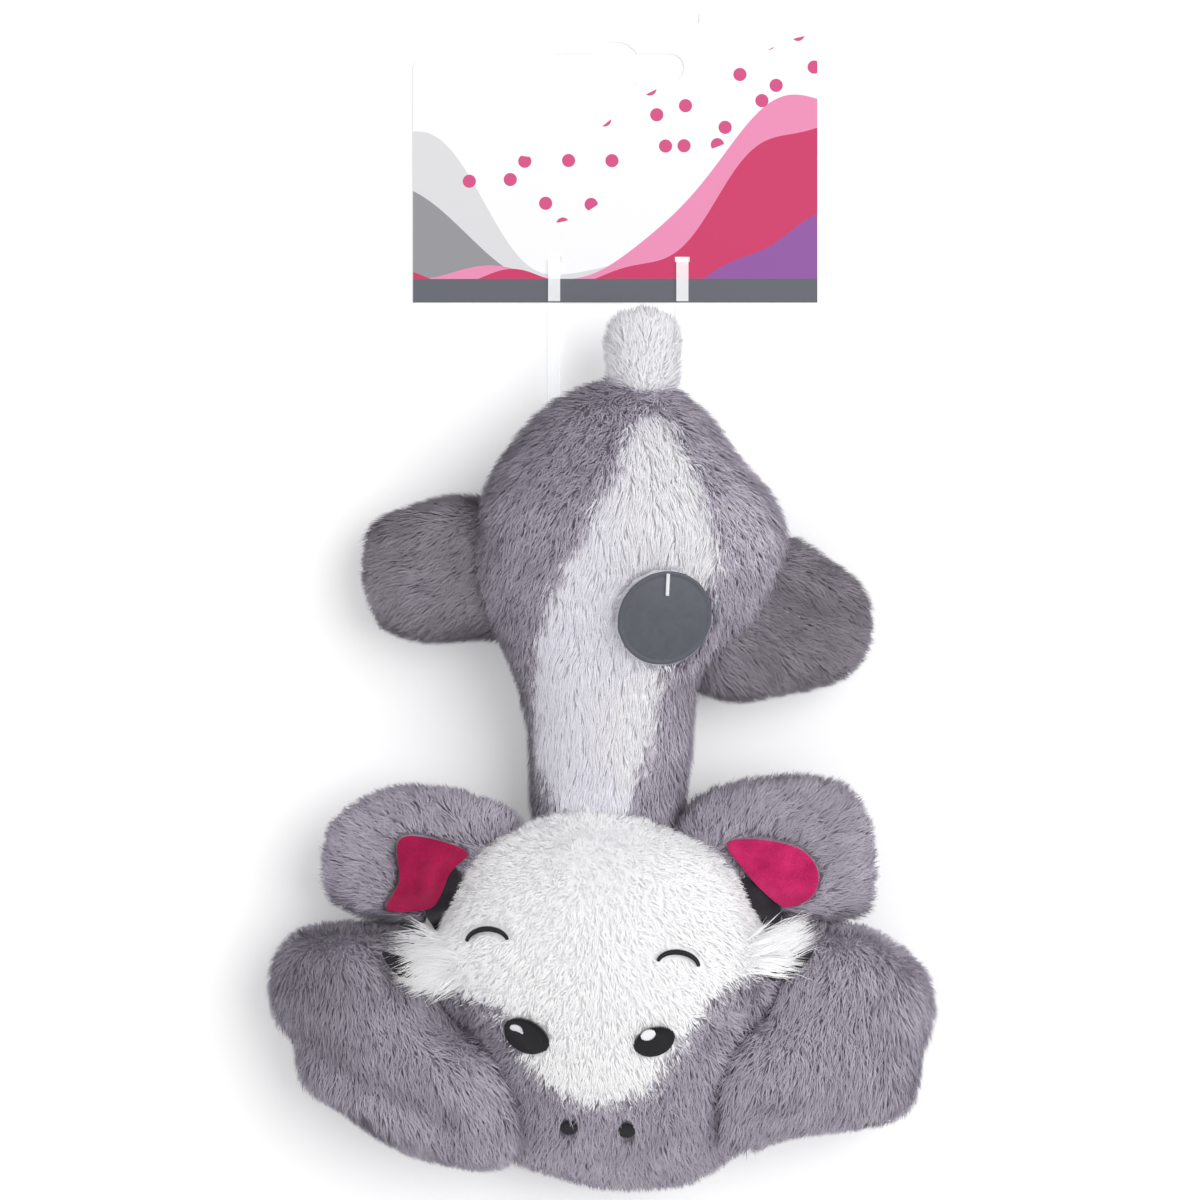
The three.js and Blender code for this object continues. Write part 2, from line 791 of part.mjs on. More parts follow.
// Hind legs
function makeLeg(side) {
  const hinge = legHinges[side];
  const moves = turnsThrough(hinge.point, hinge.axis, [0, -legSwingRange, legSwingRange]);
  const { skin, filling } = stuffedLimb([legForms[side]], [{ forms: [torsoForm], moves }]);
  addPiece(`hind_leg_${side}_upper_panel`, aboveSeam(skin, legSeamHeight), greyPlush);
  addPiece(`hind_leg_${side}_lower_panel`, belowSeam(skin, legSeamHeight), greyPlush);
  addPiece(`hind_leg_${side}_stuffing`, filling, fibreFill);
}

// Tail
function makeTail() {
  const moves = turnsThrough(tailHinge.point, tailHinge.axis, [0, -tailSwingRange, tailSwingRange]);
  const { skin, filling } = stuffedLimb([tailForm], [{ forms: [torsoForm], moves }]);
  const seam = tailLift + tailThickness / 2;
  addPiece("tail_upper_panel", aboveSeam(skin, seam), paleTailPlush);
  addPiece("tail_lower_panel", belowSeam(skin, seam), paleTailPlush);
  addPiece("tail_stuffing", filling, fibreFill);
}

// Header card, with its foot edge just past the tail's tip
const cardFootY = tailForm.start.y + tailLength + cardToTail;
const strapLevel = cardThickness + gap;

// A hang slot with round ends and a round eye in its middle
function hangSlot(centreX, centreY) {
  const endRadius = slotWidth / 2;
  const endX = slotLength / 2 - endRadius;
  const meet = Math.asin(endRadius / slotEyeRadius);
  const path = new THREE.Path();
  path.absarc(centreX + endX, centreY, endRadius, -Math.PI / 2, Math.PI / 2);
  path.absarc(centreX, centreY, slotEyeRadius, meet, Math.PI - meet);
  path.absarc(centreX - endX, centreY, endRadius, Math.PI / 2, Math.PI * 1.5);
  path.absarc(centreX, centreY, slotEyeRadius, Math.PI + meet, 2 * Math.PI - meet);
  return path;
}

const strapXs = { left: strapCentreX - strapSpacing / 2, right: strapCentreX + strapSpacing / 2 };

function makeCard() {
  const left = cardCentreX - cardWidth / 2;
  const right = cardCentreX + cardWidth / 2;
  const top = cardFootY + cardHeight;
  const tabX = right - cardTabWidth;
  const shoulderY = top - cardShoulderDrop;
  const shape = new THREE.Shape();
  shape.moveTo(left, cardFootY);
  shape.lineTo(right, cardFootY);
  shape.lineTo(right, top);
  shape.lineTo(tabX, top);
  shape.absellipse(tabX, shoulderY, tabX - left, cardShoulderDrop - cardTabStep, Math.PI / 2, Math.PI);
  shape.holes.push(hangSlot(cardCentreX, top - slotFromTop));
  const slitHalf = new THREE.Vector3(strapWidth / 2 + gap, slitWidth / 2, overrun);
  const slits = Object.values(strapXs).map((x) => {
    const centre = new THREE.Vector3(x, cardFootY + strapOnCard, 0);
    return boxSolid(centre.clone().sub(slitHalf), centre.clone().add(slitHalf));
  });
  addPiece("header_card", cut(prismSolid(shape, 0, cardThickness), slits), printedCard);
}

// Each strap runs down the card's face from its slit, and on under the rump to a tab at the belly
function makeStrap(side) {
  const x = strapXs[side];
  const low = x - strapWidth / 2;
  const high = x + strapWidth / 2;
  const top = strapLevel + strapThickness;
  const slitY = cardFootY + strapOnCard;
  const onCard = boxSolid(
    new THREE.Vector3(low, cardFootY + gap, strapLevel),
    new THREE.Vector3(high, slitY + strapThickness / 2, top),
  );
  const inSlit = boxSolid(
    new THREE.Vector3(low, slitY - strapThickness / 2, gap),
    new THREE.Vector3(high, slitY + strapThickness / 2, top),
  );
  addPiece(`strap_${side}_on_card`, onCard.add(inSlit), clearPlastic);
  const run = boxSolid(
    new THREE.Vector3(low, -strapUnderRump, strapLevel),
    new THREE.Vector3(high, cardFootY - strapBreak, top),
  );
  const tab = boxSolid(
    new THREE.Vector3(low, -strapUnderRump, strapLevel),
    new THREE.Vector3(high, -strapUnderRump + strapWidth, strapTabHeight),
  );
  const torso = toSolid(plumpGeometry(torsoForm, gap, fine));
  addPiece(`strap_${side}_to_toy`, run.add(tab).subtract(torso), clearPlastic);
}

makeTorso();
makeBadge();
makeHead();
makeEar("left", leftLiningShares, leftRootFeltShares);
makeEar("right", rightLiningShares, rightRootFeltShares);
for (const side of ["left", "right"]) {
  makeFace(side);
  makePaw(side);
  makeLeg(side);
  makeStrap(side);
}
makeTail();
makeCard();

// The part's origin is under the middle of its box, on the floor
const bounds = new THREE.Box3().setFromObject(toy);
const middle = bounds.getCenter(new THREE.Vector3());
toy.position.set(-middle.x, -middle.y, -bounds.min.z);

export default toy;
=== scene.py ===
import math

import bmesh
import bpy
import numpy as np
from mathutils import Matrix, Vector
from mathutils.bvhtree import BVHTree


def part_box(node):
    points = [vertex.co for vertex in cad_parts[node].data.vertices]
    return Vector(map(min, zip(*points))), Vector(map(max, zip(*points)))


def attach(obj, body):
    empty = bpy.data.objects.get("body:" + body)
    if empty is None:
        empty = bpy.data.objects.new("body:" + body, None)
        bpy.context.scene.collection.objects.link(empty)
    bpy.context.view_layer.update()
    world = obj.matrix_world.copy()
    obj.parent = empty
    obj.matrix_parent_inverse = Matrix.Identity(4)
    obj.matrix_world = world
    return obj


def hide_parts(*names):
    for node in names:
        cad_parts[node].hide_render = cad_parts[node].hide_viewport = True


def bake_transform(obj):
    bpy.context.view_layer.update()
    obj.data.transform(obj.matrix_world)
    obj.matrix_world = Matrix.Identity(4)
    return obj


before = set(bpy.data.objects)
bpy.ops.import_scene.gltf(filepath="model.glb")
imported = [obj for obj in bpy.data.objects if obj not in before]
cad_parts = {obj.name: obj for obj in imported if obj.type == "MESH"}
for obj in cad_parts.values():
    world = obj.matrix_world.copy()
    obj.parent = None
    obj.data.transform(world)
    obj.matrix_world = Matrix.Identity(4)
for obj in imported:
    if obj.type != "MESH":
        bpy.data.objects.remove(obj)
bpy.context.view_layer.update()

mm = 0.001


# The studio. The toy lies on its belly on white paper, and the camera looks straight down on its
# back through a long lens, so that hardly any of its sides shows.
camera_distance, seen_width = 1600 * mm, 274.3 * mm
seen_middle = (0, -0.9 * mm, 22 * mm)
film_width = 36


def new_object(name, data):
    """An object for some data, in the scene and at the origin."""
    made = bpy.data.objects.new(name, data)
    bpy.context.scene.collection.objects.link(made)
    return made


camera_data = bpy.data.cameras.new("overhead_camera")
camera_data.sensor_width = film_width
camera_data.lens = film_width * camera_distance / seen_width
camera = new_object("overhead_camera", camera_data)
camera.location = (seen_middle[0], seen_middle[1], seen_middle[2] + camera_distance)
bpy.context.scene.camera = camera
bpy.context.scene.view_settings.view_transform = "Standard"


def paint(code):
    """An sRGB hex value as linear red, green, blue and alpha."""
    parts = [int(code[i:i + 2], 16) / 255 for i in (1, 3, 5)]
    return [c / 12.92 if c <= 0.04045 else ((c + 0.055) / 1.055) ** 2.4 for c in parts] + [1]


def add_node(tree, kind, inputs=(), **settings):
    """A node with its settings, and each input either a value or an output to link."""
    made = tree.nodes.new(kind)
    for name, value in settings.items():
        setattr(made, name, value)
    for key, value in dict(inputs).items():
        if isinstance(value, bpy.types.NodeSocket):
            tree.links.new(value, made.inputs[key])
        else:
            made.inputs[key].default_value = value
    return made


def new_material(name):
    """An empty material and its node tree."""
    made = bpy.data.materials.new(name)
    made.use_nodes = True
    made.node_tree.nodes.clear()
    return made, made.node_tree


def seen_directly(tree):
    """1 where the camera sees a thing, also in gloss or through glass, and 0 where it only gives light."""
    rays = add_node(tree, "ShaderNodeLightPath").outputs
    seen = add_node(tree, "ShaderNodeMath", {0: rays["Is Camera Ray"], 1: rays["Is Glossy Ray"]},
                    operation="MAXIMUM")
    seen = add_node(tree, "ShaderNodeMath", {0: seen.outputs[0], 1: rays["Is Transmission Ray"]},
                    operation="MAXIMUM")
    return seen.outputs[0]


# Backdrop paper, matt and seamless. A little light of its own makes it show as white, and it
# keeps the toy's soft shadow.
paper, tree = new_material("matt_white_paper")
lift = add_node(tree, "ShaderNodeMath", {0: seen_directly(tree), 1: 0.2}, operation="MULTIPLY")
matt = add_node(tree, "ShaderNodeBsdfDiffuse", {"Color": paint("#f7f7f8")})
glow = add_node(tree, "ShaderNodeEmission", {"Color": (1, 1, 1, 1), "Strength": lift.outputs[0]})
both = add_node(tree, "ShaderNodeAddShader", {0: matt.outputs[0], 1: glow.outputs[0]})
add_node(tree, "ShaderNodeOutputMaterial", {"Surface": both.outputs[0]})

floor_mesh = bpy.data.meshes.new("paper_floor")
floor_reach = 4
corners = [(x * floor_reach, y * floor_reach, 0) for x, y in ((-1, -1), (1, -1), (1, 1), (-1, 1))]
floor_mesh.from_pydata(corners, [], [(0, 1, 2, 3)])
floor_mesh.materials.append(paper)
floor = new_object("paper_floor", floor_mesh)

# A pale room lights the toy evenly, and one broad lamp, high on the right of the picture, models
# its form.
world = bpy.data.worlds.new("pale_room")
bpy.context.scene.world = world
world.use_nodes = True
tree = world.node_tree
tree.nodes.clear()
level = add_node(tree, "ShaderNodeMapRange", {"Value": seen_directly(tree), "To Min": 0.68, "To Max": 1})
sky = add_node(tree, "ShaderNodeBackground", {"Color": (1, 1, 1, 1), "Strength": level.outputs[0]})
add_node(tree, "ShaderNodeOutputWorld", {"Surface": sky.outputs[0]})

lamp_data = bpy.data.lights.new("broad_lamp", "SUN")
lamp_data.energy = 1.55
lamp_data.angle = math.radians(50)
lamp = new_object("broad_lamp", lamp_data)
towards_lamp = Vector((0.7, 0.2, 1))
lamp.rotation_euler = towards_lamp.to_track_quat("Z", "Y").to_euler()


# The header card is white folding boxboard, printed in flat colours and die-cut with a hang slot.
# Its print is a plain one of waves and dots: slate, greys, magenta, pink and purple. Thin varnish
# gives the printed side a soft gloss over the board's faint grain.
board, tree = new_material("printed_boxboard")
place = add_node(tree, "ShaderNodeTexCoord").outputs["Object"]
axes = add_node(tree, "ShaderNodeSeparateXYZ", {0: place})
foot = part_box("header_card")[0].y


def below_wave(tree, start, end, low, high, swing, length):
    """1 below an edge that rises from low at start to high at end with a gentle swing, all in metres."""
    rise = add_node(tree, "ShaderNodeMapRange",
                    {"Value": axes.outputs["X"], "From Min": start, "From Max": end,
                     "To Min": foot + low, "To Max": foot + high}, interpolation_type="SMOOTHERSTEP")
    turn = add_node(tree, "ShaderNodeMath", {0: axes.outputs["X"], 1: math.tau / length},
                    operation="MULTIPLY")
    swell = add_node(tree, "ShaderNodeMath", {0: turn.outputs[0]}, operation="SINE")
    edge = add_node(tree, "ShaderNodeMath", {0: swell.outputs[0], 1: swing, 2: rise.outputs[0]},
                    operation="MULTIPLY_ADD")
    return add_node(tree, "ShaderNodeMath", {0: axes.outputs["Y"], 1: edge.outputs[0]},
                    operation="LESS_THAN").outputs[0]


# Each wave's colour, where it starts and ends, its levels there, its swing and its wavelength
waves = [
    ("#d9d9dc", -10 * mm, -46 * mm, 8 * mm, 40 * mm, 1.5 * mm, 42 * mm),
    ("#8f8f93", -14 * mm, -48 * mm, 5 * mm, 27 * mm, 1.2 * mm, 31 * mm),
    ("#e889b2", -6 * mm, 50 * mm, 7 * mm, 47 * mm, 1.6 * mm, 34 * mm),
    ("#c8205f", 0 * mm, 54 * mm, 6 * mm, 42 * mm, 1.8 * mm, 27 * mm),
    ("#8a4a9c", 14 * mm, 58 * mm, 4 * mm, 20 * mm, 1.2 * mm, 23 * mm),
    ("#565a62", -200 * mm, 200 * mm, 5.4 * mm, 5.6 * mm, 0, 20 * mm),
]
print_colour = paint("#f6f6f8")
for code, *shape in waves:
    covered = below_wave(tree, *shape)
    print_colour = add_node(tree, "ShaderNodeMix", {"Factor": covered, 6: print_colour, 7: paint(code)},
                            data_type="RGBA").outputs[2]

# Dots a few millimetres across, in a band over the waves
dot_spacing, dot_share = 9 * mm, 0.17
cells = add_node(tree, "ShaderNodeTexVoronoi",
                 {"Vector": place, "Scale": 1 / dot_spacing, "Randomness": 0.8}, voronoi_dimensions="2D")
dot = add_node(tree, "ShaderNodeMath", {0: cells.outputs["Distance"], 1: dot_share}, operation="LESS_THAN")
upper = below_wave(tree, -30 * mm, 54 * mm, 34 * mm, 60 * mm, 2 * mm, 40 * mm)
lower = below_wave(tree, -20 * mm, 54 * mm, 20 * mm, 44 * mm, 2 * mm, 40 * mm)
band = add_node(tree, "ShaderNodeMath", {0: upper, 1: lower}, operation="SUBTRACT")
dot = add_node(tree, "ShaderNodeMath", {0: dot.outputs[0], 1: band.outputs[0]}, operation="MULTIPLY",
               use_clamp=True)
print_colour = add_node(tree, "ShaderNodeMix",
                        {"Factor": dot.outputs[0], 6: print_colour, 7: paint("#d0447f")},
                        data_type="RGBA").outputs[2]
# The back and the cut edges are bare board
way = add_node(tree, "ShaderNodeTexCoord").outputs["Normal"]
facing = add_node(tree, "ShaderNodeSeparateXYZ", {0: way})
bare = add_node(tree, "ShaderNodeMath", {0: facing.outputs[2], 1: 0.5}, operation="LESS_THAN")
print_colour = add_node(tree, "ShaderNodeMix",
                        {"Factor": bare.outputs[0], 6: print_colour, 7: paint("#e9e7e1")},
                        data_type="RGBA").outputs[2]
# The board's fibres, half a millimetre apart
fibres = add_node(tree, "ShaderNodeTexNoise", {"Vector": place, "Scale": 1 / (0.5 * mm), "Detail": 3})
grain = add_node(tree, "ShaderNodeBump",
                 {"Height": fibres.outputs[0], "Strength": 0.05, "Distance": 0.05 * mm})
coat = add_node(tree, "ShaderNodeBsdfPrincipled",
                {"Base Color": print_colour, "Roughness": 0.38, "Coat Weight": 0.2,
                 "Coat Roughness": 0.25, "Normal": grain.outputs[0]})
add_node(tree, "ShaderNodeOutputMaterial", {"Surface": coat.outputs[0]})


def dress(mesh, material):
    """The material takes the place of all that the mesh had."""
    mesh.materials.clear()
    mesh.materials.append(material)


dress(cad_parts["header_card"].data, board)


# Two clear polypropylene straps hold the toy to the card. Each comes out of a slit in the card,
# runs over its face and on under the rump. The badge's tag pin is of the same plastic.
strip, tree = new_material("clear_polypropylene_strip")
place = add_node(tree, "ShaderNodeTexCoord").outputs["Object"]
# The die leaves lines along the strip, 0.4 mm apart, which vary its gloss. It is half clear, and
# it glows faintly: painted light, a low emission that stands in for the light its milky plastic scatters.
streaks = add_node(tree, "ShaderNodeMapping", {0: place, "Scale": (1 / mm, 0.02 / mm, 1 / mm)})
drawn = add_node(tree, "ShaderNodeTexNoise", {"Vector": streaks.outputs[0], "Scale": 2.5, "Detail": 2})
ridges = add_node(tree, "ShaderNodeBump",
                  {"Height": drawn.outputs[0], "Strength": 0.2, "Distance": 0.05 * mm})
haze = add_node(tree, "ShaderNodeMapRange", {"Value": drawn.outputs[0], "To Min": 0.12, "To Max": 0.3})
body = add_node(tree, "ShaderNodeBsdfPrincipled",
                {"Base Color": paint("#f2f3f6"), "Roughness": haze.outputs[0], "IOR": 1.49, "Alpha": 0.45,
                 "Normal": ridges.outputs[0], "Emission Color": paint("#f2f3f6"),
                 "Emission Strength": 0.3})
add_node(tree, "ShaderNodeOutputMaterial", {"Surface": body.outputs[0]})
for node in ("strap_left_on_card", "strap_right_on_card", "strap_left_to_toy", "strap_right_to_toy",
             "badge_tag_pin"):
    dress(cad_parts[node].data, strip)


# The squeaker is a blow-moulded polyethylene bulb with a reed pressed into its neck. It lies in
# the filling, under the badge, and is never seen. The plastic is waxy and slightly cloudy.
milky, tree = new_material("blown_polyethylene")
place = add_node(tree, "ShaderNodeTexCoord").outputs["Object"]
cloud = add_node(tree, "ShaderNodeTexNoise", {"Vector": place, "Scale": 1 / (3 * mm), "Detail": 3})
tone = add_node(tree, "ShaderNodeMix",
                {"Factor": cloud.outputs[0], 6: paint("#dfdacd"), 7: paint("#f1ede2")}, data_type="RGBA")
body = add_node(tree, "ShaderNodeBsdfPrincipled",
                {"Base Color": tone.outputs[2], "Roughness": 0.42, "IOR": 1.51})
add_node(tree, "ShaderNodeOutputMaterial", {"Surface": body.outputs[0]})
for node in ("squeaker_bulb", "squeaker_reed"):
    dress(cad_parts[node].data, milky)


# The stuffed limbs. Each is a knitted backing cloth, sewn into a bag and filled with loose
# polyester fibre. The bags are blown up as cloth, held at their seams, and lie a pile's depth
# under the outside of the plush.

# Each limb's body, its CAD nodes, and the height of its seam
limbs = {
    "torso": ("torso", ["torso_back_panel", "back_stripe_panel", "torso_belly_panel", "press_patch",
                        "torso_stuffing"], 15 * mm),
    "head": ("head", ["head_face_panel", "muzzle_panel", "head_under_panel", "head_stuffing"], 20 * mm),
    "tail": ("tail", ["tail_upper_panel", "tail_lower_panel", "tail_stuffing"], 18 * mm),
}
# How far a limb's root reaches into the larger limb that it is sewn to
tucks = {"tail": (0, -6, 0), "ear_left": (7, -1.5, 0), "ear_right": (-7, -1.5, 0),
         "hind_leg_left": (11, 0, 0), "hind_leg_right": (-11, 1.5, 0)}
for side in ("left", "right"):
    limbs[f"ear_{side}"] = (f"ear_{side}", [f"ear_{side}_front_panel", f"ear_{side}_back_panel",
                                            f"ear_{side}_stuffing"], 19 * mm)
    limbs[f"front_paw_{side}"] = (f"front_paw_{side}", [f"front_paw_{side}_upper_panel",
                                                        f"front_paw_{side}_lower_panel",
                                                        f"front_paw_{side}_stuffing"], 17 * mm)
    limbs[f"hind_leg_{side}"] = (f"hind_leg_{side}", [f"hind_leg_{side}_upper_panel",
                                                      f"hind_leg_{side}_lower_panel",
                                                      f"hind_leg_{side}_stuffing"], 12 * mm)

# The backing lies this far under the outside, and the slack is what the filling blows it out by
pile_depth = {"tail": 1.5 * mm, "head": 1.4 * mm}
usual_depth, slack, swell_cap = 2.0 * mm, 0.6 * mm, 1.6 * mm

# Fabric that crosses a joint: limb, the body it is sewn to, and where the turn starts and ends
crossings = {
    "tail": ("torso", (9.8, 47, 18), (9.8, 53, 18)),
    "ear_left": ("head", (-30, -62.5, 25), (-37, -58.5, 25)),
    "ear_right": ("head", (30, -62.5, 25), (37, -58.5, 25)),
    "front_paw_left": ("head", (-38, -66, 20), (-50, -90, 20)),
    "front_paw_right": ("head", (38, -66, 20), (50, -90, 20)),
    "hind_leg_left": ("torso", (-23, 4, 12), (-33, 4, 12)),
    "hind_leg_right": ("torso", (31, -6, 12), (41, -6, 12)),
}


def carried(piece, limb):
    """The piece follows its limb's body, but one whose fabric crosses a joint is only left where it is."""
    if limb in crossings:
        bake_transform(piece)
    else:
        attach(piece, limbs[limb][0])


def finished(obj):
    """The object's mesh with its modifiers applied, and the modifiers taken off."""
    made = bpy.data.meshes.new_from_object(obj.evaluated_get(bpy.context.evaluated_depsgraph_get()))
    obj.modifiers.clear()
    obj.data = made
    return obj


def points_of(mesh):
    """The mesh's points as rows of x, y and z."""
    flat = np.zeros(len(mesh.vertices) * 3)
    mesh.vertices.foreach_get("co", flat)
    return flat.reshape(-1, 3)


def set_points(mesh, points):
    """The mesh's points go to new places."""
    mesh.vertices.foreach_set("co", points.ravel())
    mesh.update()


def largest_shell(mesh):
    """Only the outer shell stays of a mesh that has hollows inside."""
    form = bmesh.new()
    form.from_mesh(mesh)
    left, best = set(form.verts), []
    while left:
        shell, rim = [], [left.pop()]
        while rim:
            vert = rim.pop()
            shell.append(vert)
            for edge in vert.link_edges:
                other = edge.other_vert(vert)
                if other in left:
                    left.remove(other)
                    rim.append(other)
        best = max(best, shell, key=len)
    keep = set(best)
    bmesh.ops.delete(form, geom=[v for v in form.verts if v not in keep], context="VERTS")
    form.to_mesh(mesh)
    form.free()


def shell_tree(meshes):
    """What a point's distance from some meshes is found with, or where a ray meets them."""
    form = bmesh.new()
    for mesh in meshes:
        form.from_mesh(mesh)
    tree = BVHTree.FromBMesh(form)
    form.free()
    return tree


crush_reach, least_depth = 6 * mm, 0.2


def moved_in(mesh, depth, others):
    """Every point moves inwards by depth, along a normal that is evened out with its neighbours'. It
    moves less where another limb presses on it, because the pile is crushed there."""
    form = bmesh.new()
    form.from_mesh(mesh)
    form.normal_update()
    ways = [vert.normal.copy() for vert in form.verts]
    for _ in range(3):
        sums = [sum((ways[e.other_vert(vert).index] for e in vert.link_edges), Vector())
                for vert in form.verts]
        ways = [(way + around).normalized() for way, around in zip(ways, sums)]
    for vert, way in zip(form.verts, ways):
        hit = others.ray_cast(vert.co, way, crush_reach)
        crush = 1 if hit[0] is None else min(1, least_depth + hit[3] / crush_reach)
        vert.co -= way * depth * crush
    form.to_mesh(mesh)
    form.free()
    mesh.update()


def evened(mesh, rounds):
    """The surface is evened out, and its size kept."""
    for factor in (0.5, -0.52) * rounds:
        form = bmesh.new()
        form.from_mesh(mesh)
        bmesh.ops.smooth_vert(form, verts=form.verts, factor=factor, use_axis_x=True, use_axis_y=True,
                              use_axis_z=True)
        form.to_mesh(mesh)
        form.free()
    mesh.update()


def remeshed(obj, size):
    """One closed skin round everything in the object."""
    voxels = obj.modifiers.new("voxels", "REMESH")
    voxels.mode = "VOXEL"
    voxels.voxel_size = size
    finished(obj)
    largest_shell(obj.data)


first_mesh, last_mesh = 2 * mm, 2.6 * mm
same_place = 0.001 * mm


def bag_of(name, nodes, tuck, depth, others):
    """One closed bag round some CAD nodes, drawn in by a depth, with its root tucked in."""
    form = bmesh.new()
    # A tucked root is filled with copies on the way to its place, which become one skin
    for share in (np.linspace(0, 1, 5) if any(tuck) else [0]):
        first = len(form.verts)
        for node in nodes:
            form.from_mesh(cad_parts[node].data)
        form.verts.ensure_lookup_table()
        for vert in form.verts[first:]:
            vert.co += Vector(tuck) * (share * mm)
    if not any(tuck):
        bmesh.ops.remove_doubles(form, verts=form.verts, dist=same_place)
    mesh = bpy.data.meshes.new(name)
    form.to_mesh(mesh)
    form.free()
    bag = new_object(name, mesh)
    remeshed(bag, first_mesh)
    moved_in(bag.data, depth, others)
    remeshed(bag, last_mesh)
    evened(bag.data, 4)
    return bag


bags = {}
for limb, (_, nodes, _) in limbs.items():
    # A limb presses on all others but the one that it is sewn to
    others = shell_tree([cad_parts[node].data for other, (_, other_nodes, _) in limbs.items()
                         if other != limb and not (limb in tucks and other in ("torso", "head"))
                         for node in other_nodes])
    bags[limb] = bag_of(f"{limb}_backing", nodes, tucks.get(limb, (0, 0, 0)),
                        pile_depth.get(limb, usual_depth) + slack, others)

seam_width, seam_hold, swell_frames = 1.6 * mm, 0.95, 20
for limb, bag in bags.items():
    seam = limbs[limb][2]
    held = bag.vertex_groups.new(name="held")
    for vert in bag.data.vertices:
        near_seam = math.exp(-((vert.co.z - seam) / seam_width) ** 2)
        held.add([vert.index], seam_hold * near_seam, "REPLACE")
    cloth = bag.modifiers.new("stuffing", "CLOTH")
    cloth.settings.quality = 6
    cloth.settings.mass = 0.2
    cloth.settings.tension_stiffness = 8
    cloth.settings.compression_stiffness = 8
    cloth.settings.shear_stiffness = 3
    cloth.settings.bending_stiffness = 0.3
    cloth.settings.use_pressure = True
    cloth.settings.uniform_pressure_force = 4
    cloth.settings.vertex_group_mass = "held"
    cloth.settings.effector_weights.gravity = 0
    cloth.collision_settings.use_collision = False
for step in range(1, swell_frames + 1):
    bpy.context.scene.frame_set(step)
for bag in bags.values():
    before = points_of(bag.data)
    after = bpy.data.meshes.new_from_object(bag.evaluated_get(bpy.context.evaluated_depsgraph_get()))
    move = points_of(after) - before
    size = np.linalg.norm(move, axis=1, keepdims=True)
    bag.modifiers.clear()
    bag.vertex_groups.clear()
    set_points(bag.data, before + move * np.minimum(1, swell_cap / np.maximum(size, 1e-9)))
    bpy.data.meshes.remove(after)
bpy.context.scene.frame_set(1)


# Where the filling is pushed by hand: limb, place seen from above, radius and push, in millimetres
pushes = [
    ("torso", (-7, 42), 14, (-2.2, 0.8, 0)),
    ("torso", (-23, 30), 12, (-1.7, 0.9, 0)),
    ("torso", (8, 48), 14, (0, 1.6, 0)),
    ("torso", (38, 16), 12, (2, 0, 0)),
    ("torso", (19, -32), 9, (2, 0, 0)),
    ("hind_leg_left", (-32, 18), 11, (0, 3.8, 0)),
    ("hind_leg_left", (-54, 15), 8, (-1, 1.5, 0)),
    ("hind_leg_left", (-40, -10), 9, (0, -1, 0)),
    ("hind_leg_right", (42, 7), 10, (0, 6, 0)),
    ("hind_leg_right", (31, -16), 11, (-1, -4, 0)),
    ("hind_leg_right", (52, -22), 9, (-0.5, 1, 0)),
    ("hind_leg_right", (60, -4), 12, (1.5, 0, 0)),
    ("ear_left", (-54, -68), 10, (-1.5, -4, 0)),
    ("ear_left", (-57, -45), 10, (0.5, -2.2, 0)),
    ("ear_right", (53, -68), 11, (2, -4.5, 0)),
    ("ear_right", (61, -66), 7, (1, -3, 0)),
    ("ear_right", (50, -42), 12, (0, -0.5, 0)),
    ("front_paw_left", (-71, -79), 10, (-0.8, 0.5, 0)),
    ("front_paw_left", (-71, -107), 9, (1.6, 1.5, 0)),
    ("front_paw_left", (-62, -118), 9, (0.5, 2.4, 0)),
    ("front_paw_left", (-40, -125), 13, (0, -3, 0)),
    ("front_paw_left", (-26, -121), 8, (2, -5, 0)),
    ("front_paw_right", (70, -78), 9, (-2, -1.5, 0)),
    ("front_paw_right", (75, -100), 14, (1.5, 0, 0)),
    ("front_paw_right", (70, -114), 10, (1.2, -2.4, 0)),
    ("front_paw_right", (30, -122), 9, (0, -3, 0)),
    ("head", (0, -131), 16, (0, -2, 0)),
    ("head", (-18, -125), 8, (-1, -3, 0)),
    ("head", (17, -126), 8, (1.5, -2, 0)),
    ("tail", (2, 67), 4.5, (0.6, -0.6, 0)),
    ("tail", (17.5, 67), 4.5, (-0.6, -0.6, 0)),
    ("tail", (1, 60), 5, (-0.9, 0, 0)),
    ("tail", (18.5, 60), 5, (0.9, 0, 0)),
]


def push_out(mesh, place, radius, move):
    """The mesh bulges by a move round a place seen from above, less and less away from it."""
    points = points_of(mesh)
    near = np.linalg.norm(points[:, :2] - np.array(place) * mm, axis=1)
    points += np.exp(-(near / (radius * mm)) ** 2)[:, None] * np.array(move) * mm
    set_points(mesh, points)


for limb, place, radius, move in pushes:
    push_out(bags[limb].data, place, radius, move)

# Folds in the stuffed limbs, pressed in along a line: limb, points in millimetres, width, depth
folds = [
    ("front_paw_left", [(-70, -98), (-60, -106), (-48, -112), (-36, -118)], 4.5, 5),
    ("front_paw_left", [(-46, -84), (-40, -92), (-34, -100)], 4, 3),
    ("front_paw_right", [(60, -114), (48, -118), (36, -121)], 4, 2.5),
    ("hind_leg_right", [(38, -2), (48, -5), (56, -8)], 6, 6),
    ("hind_leg_left", [(-46, 8), (-34, 6)], 5, 3),
    ("torso", [(20, -24), (18, -33), (21, -42)], 3.5, 2),
    ("torso", [(-16, 47), (-2, 46), (12, 46)], 3, 1.2),
]


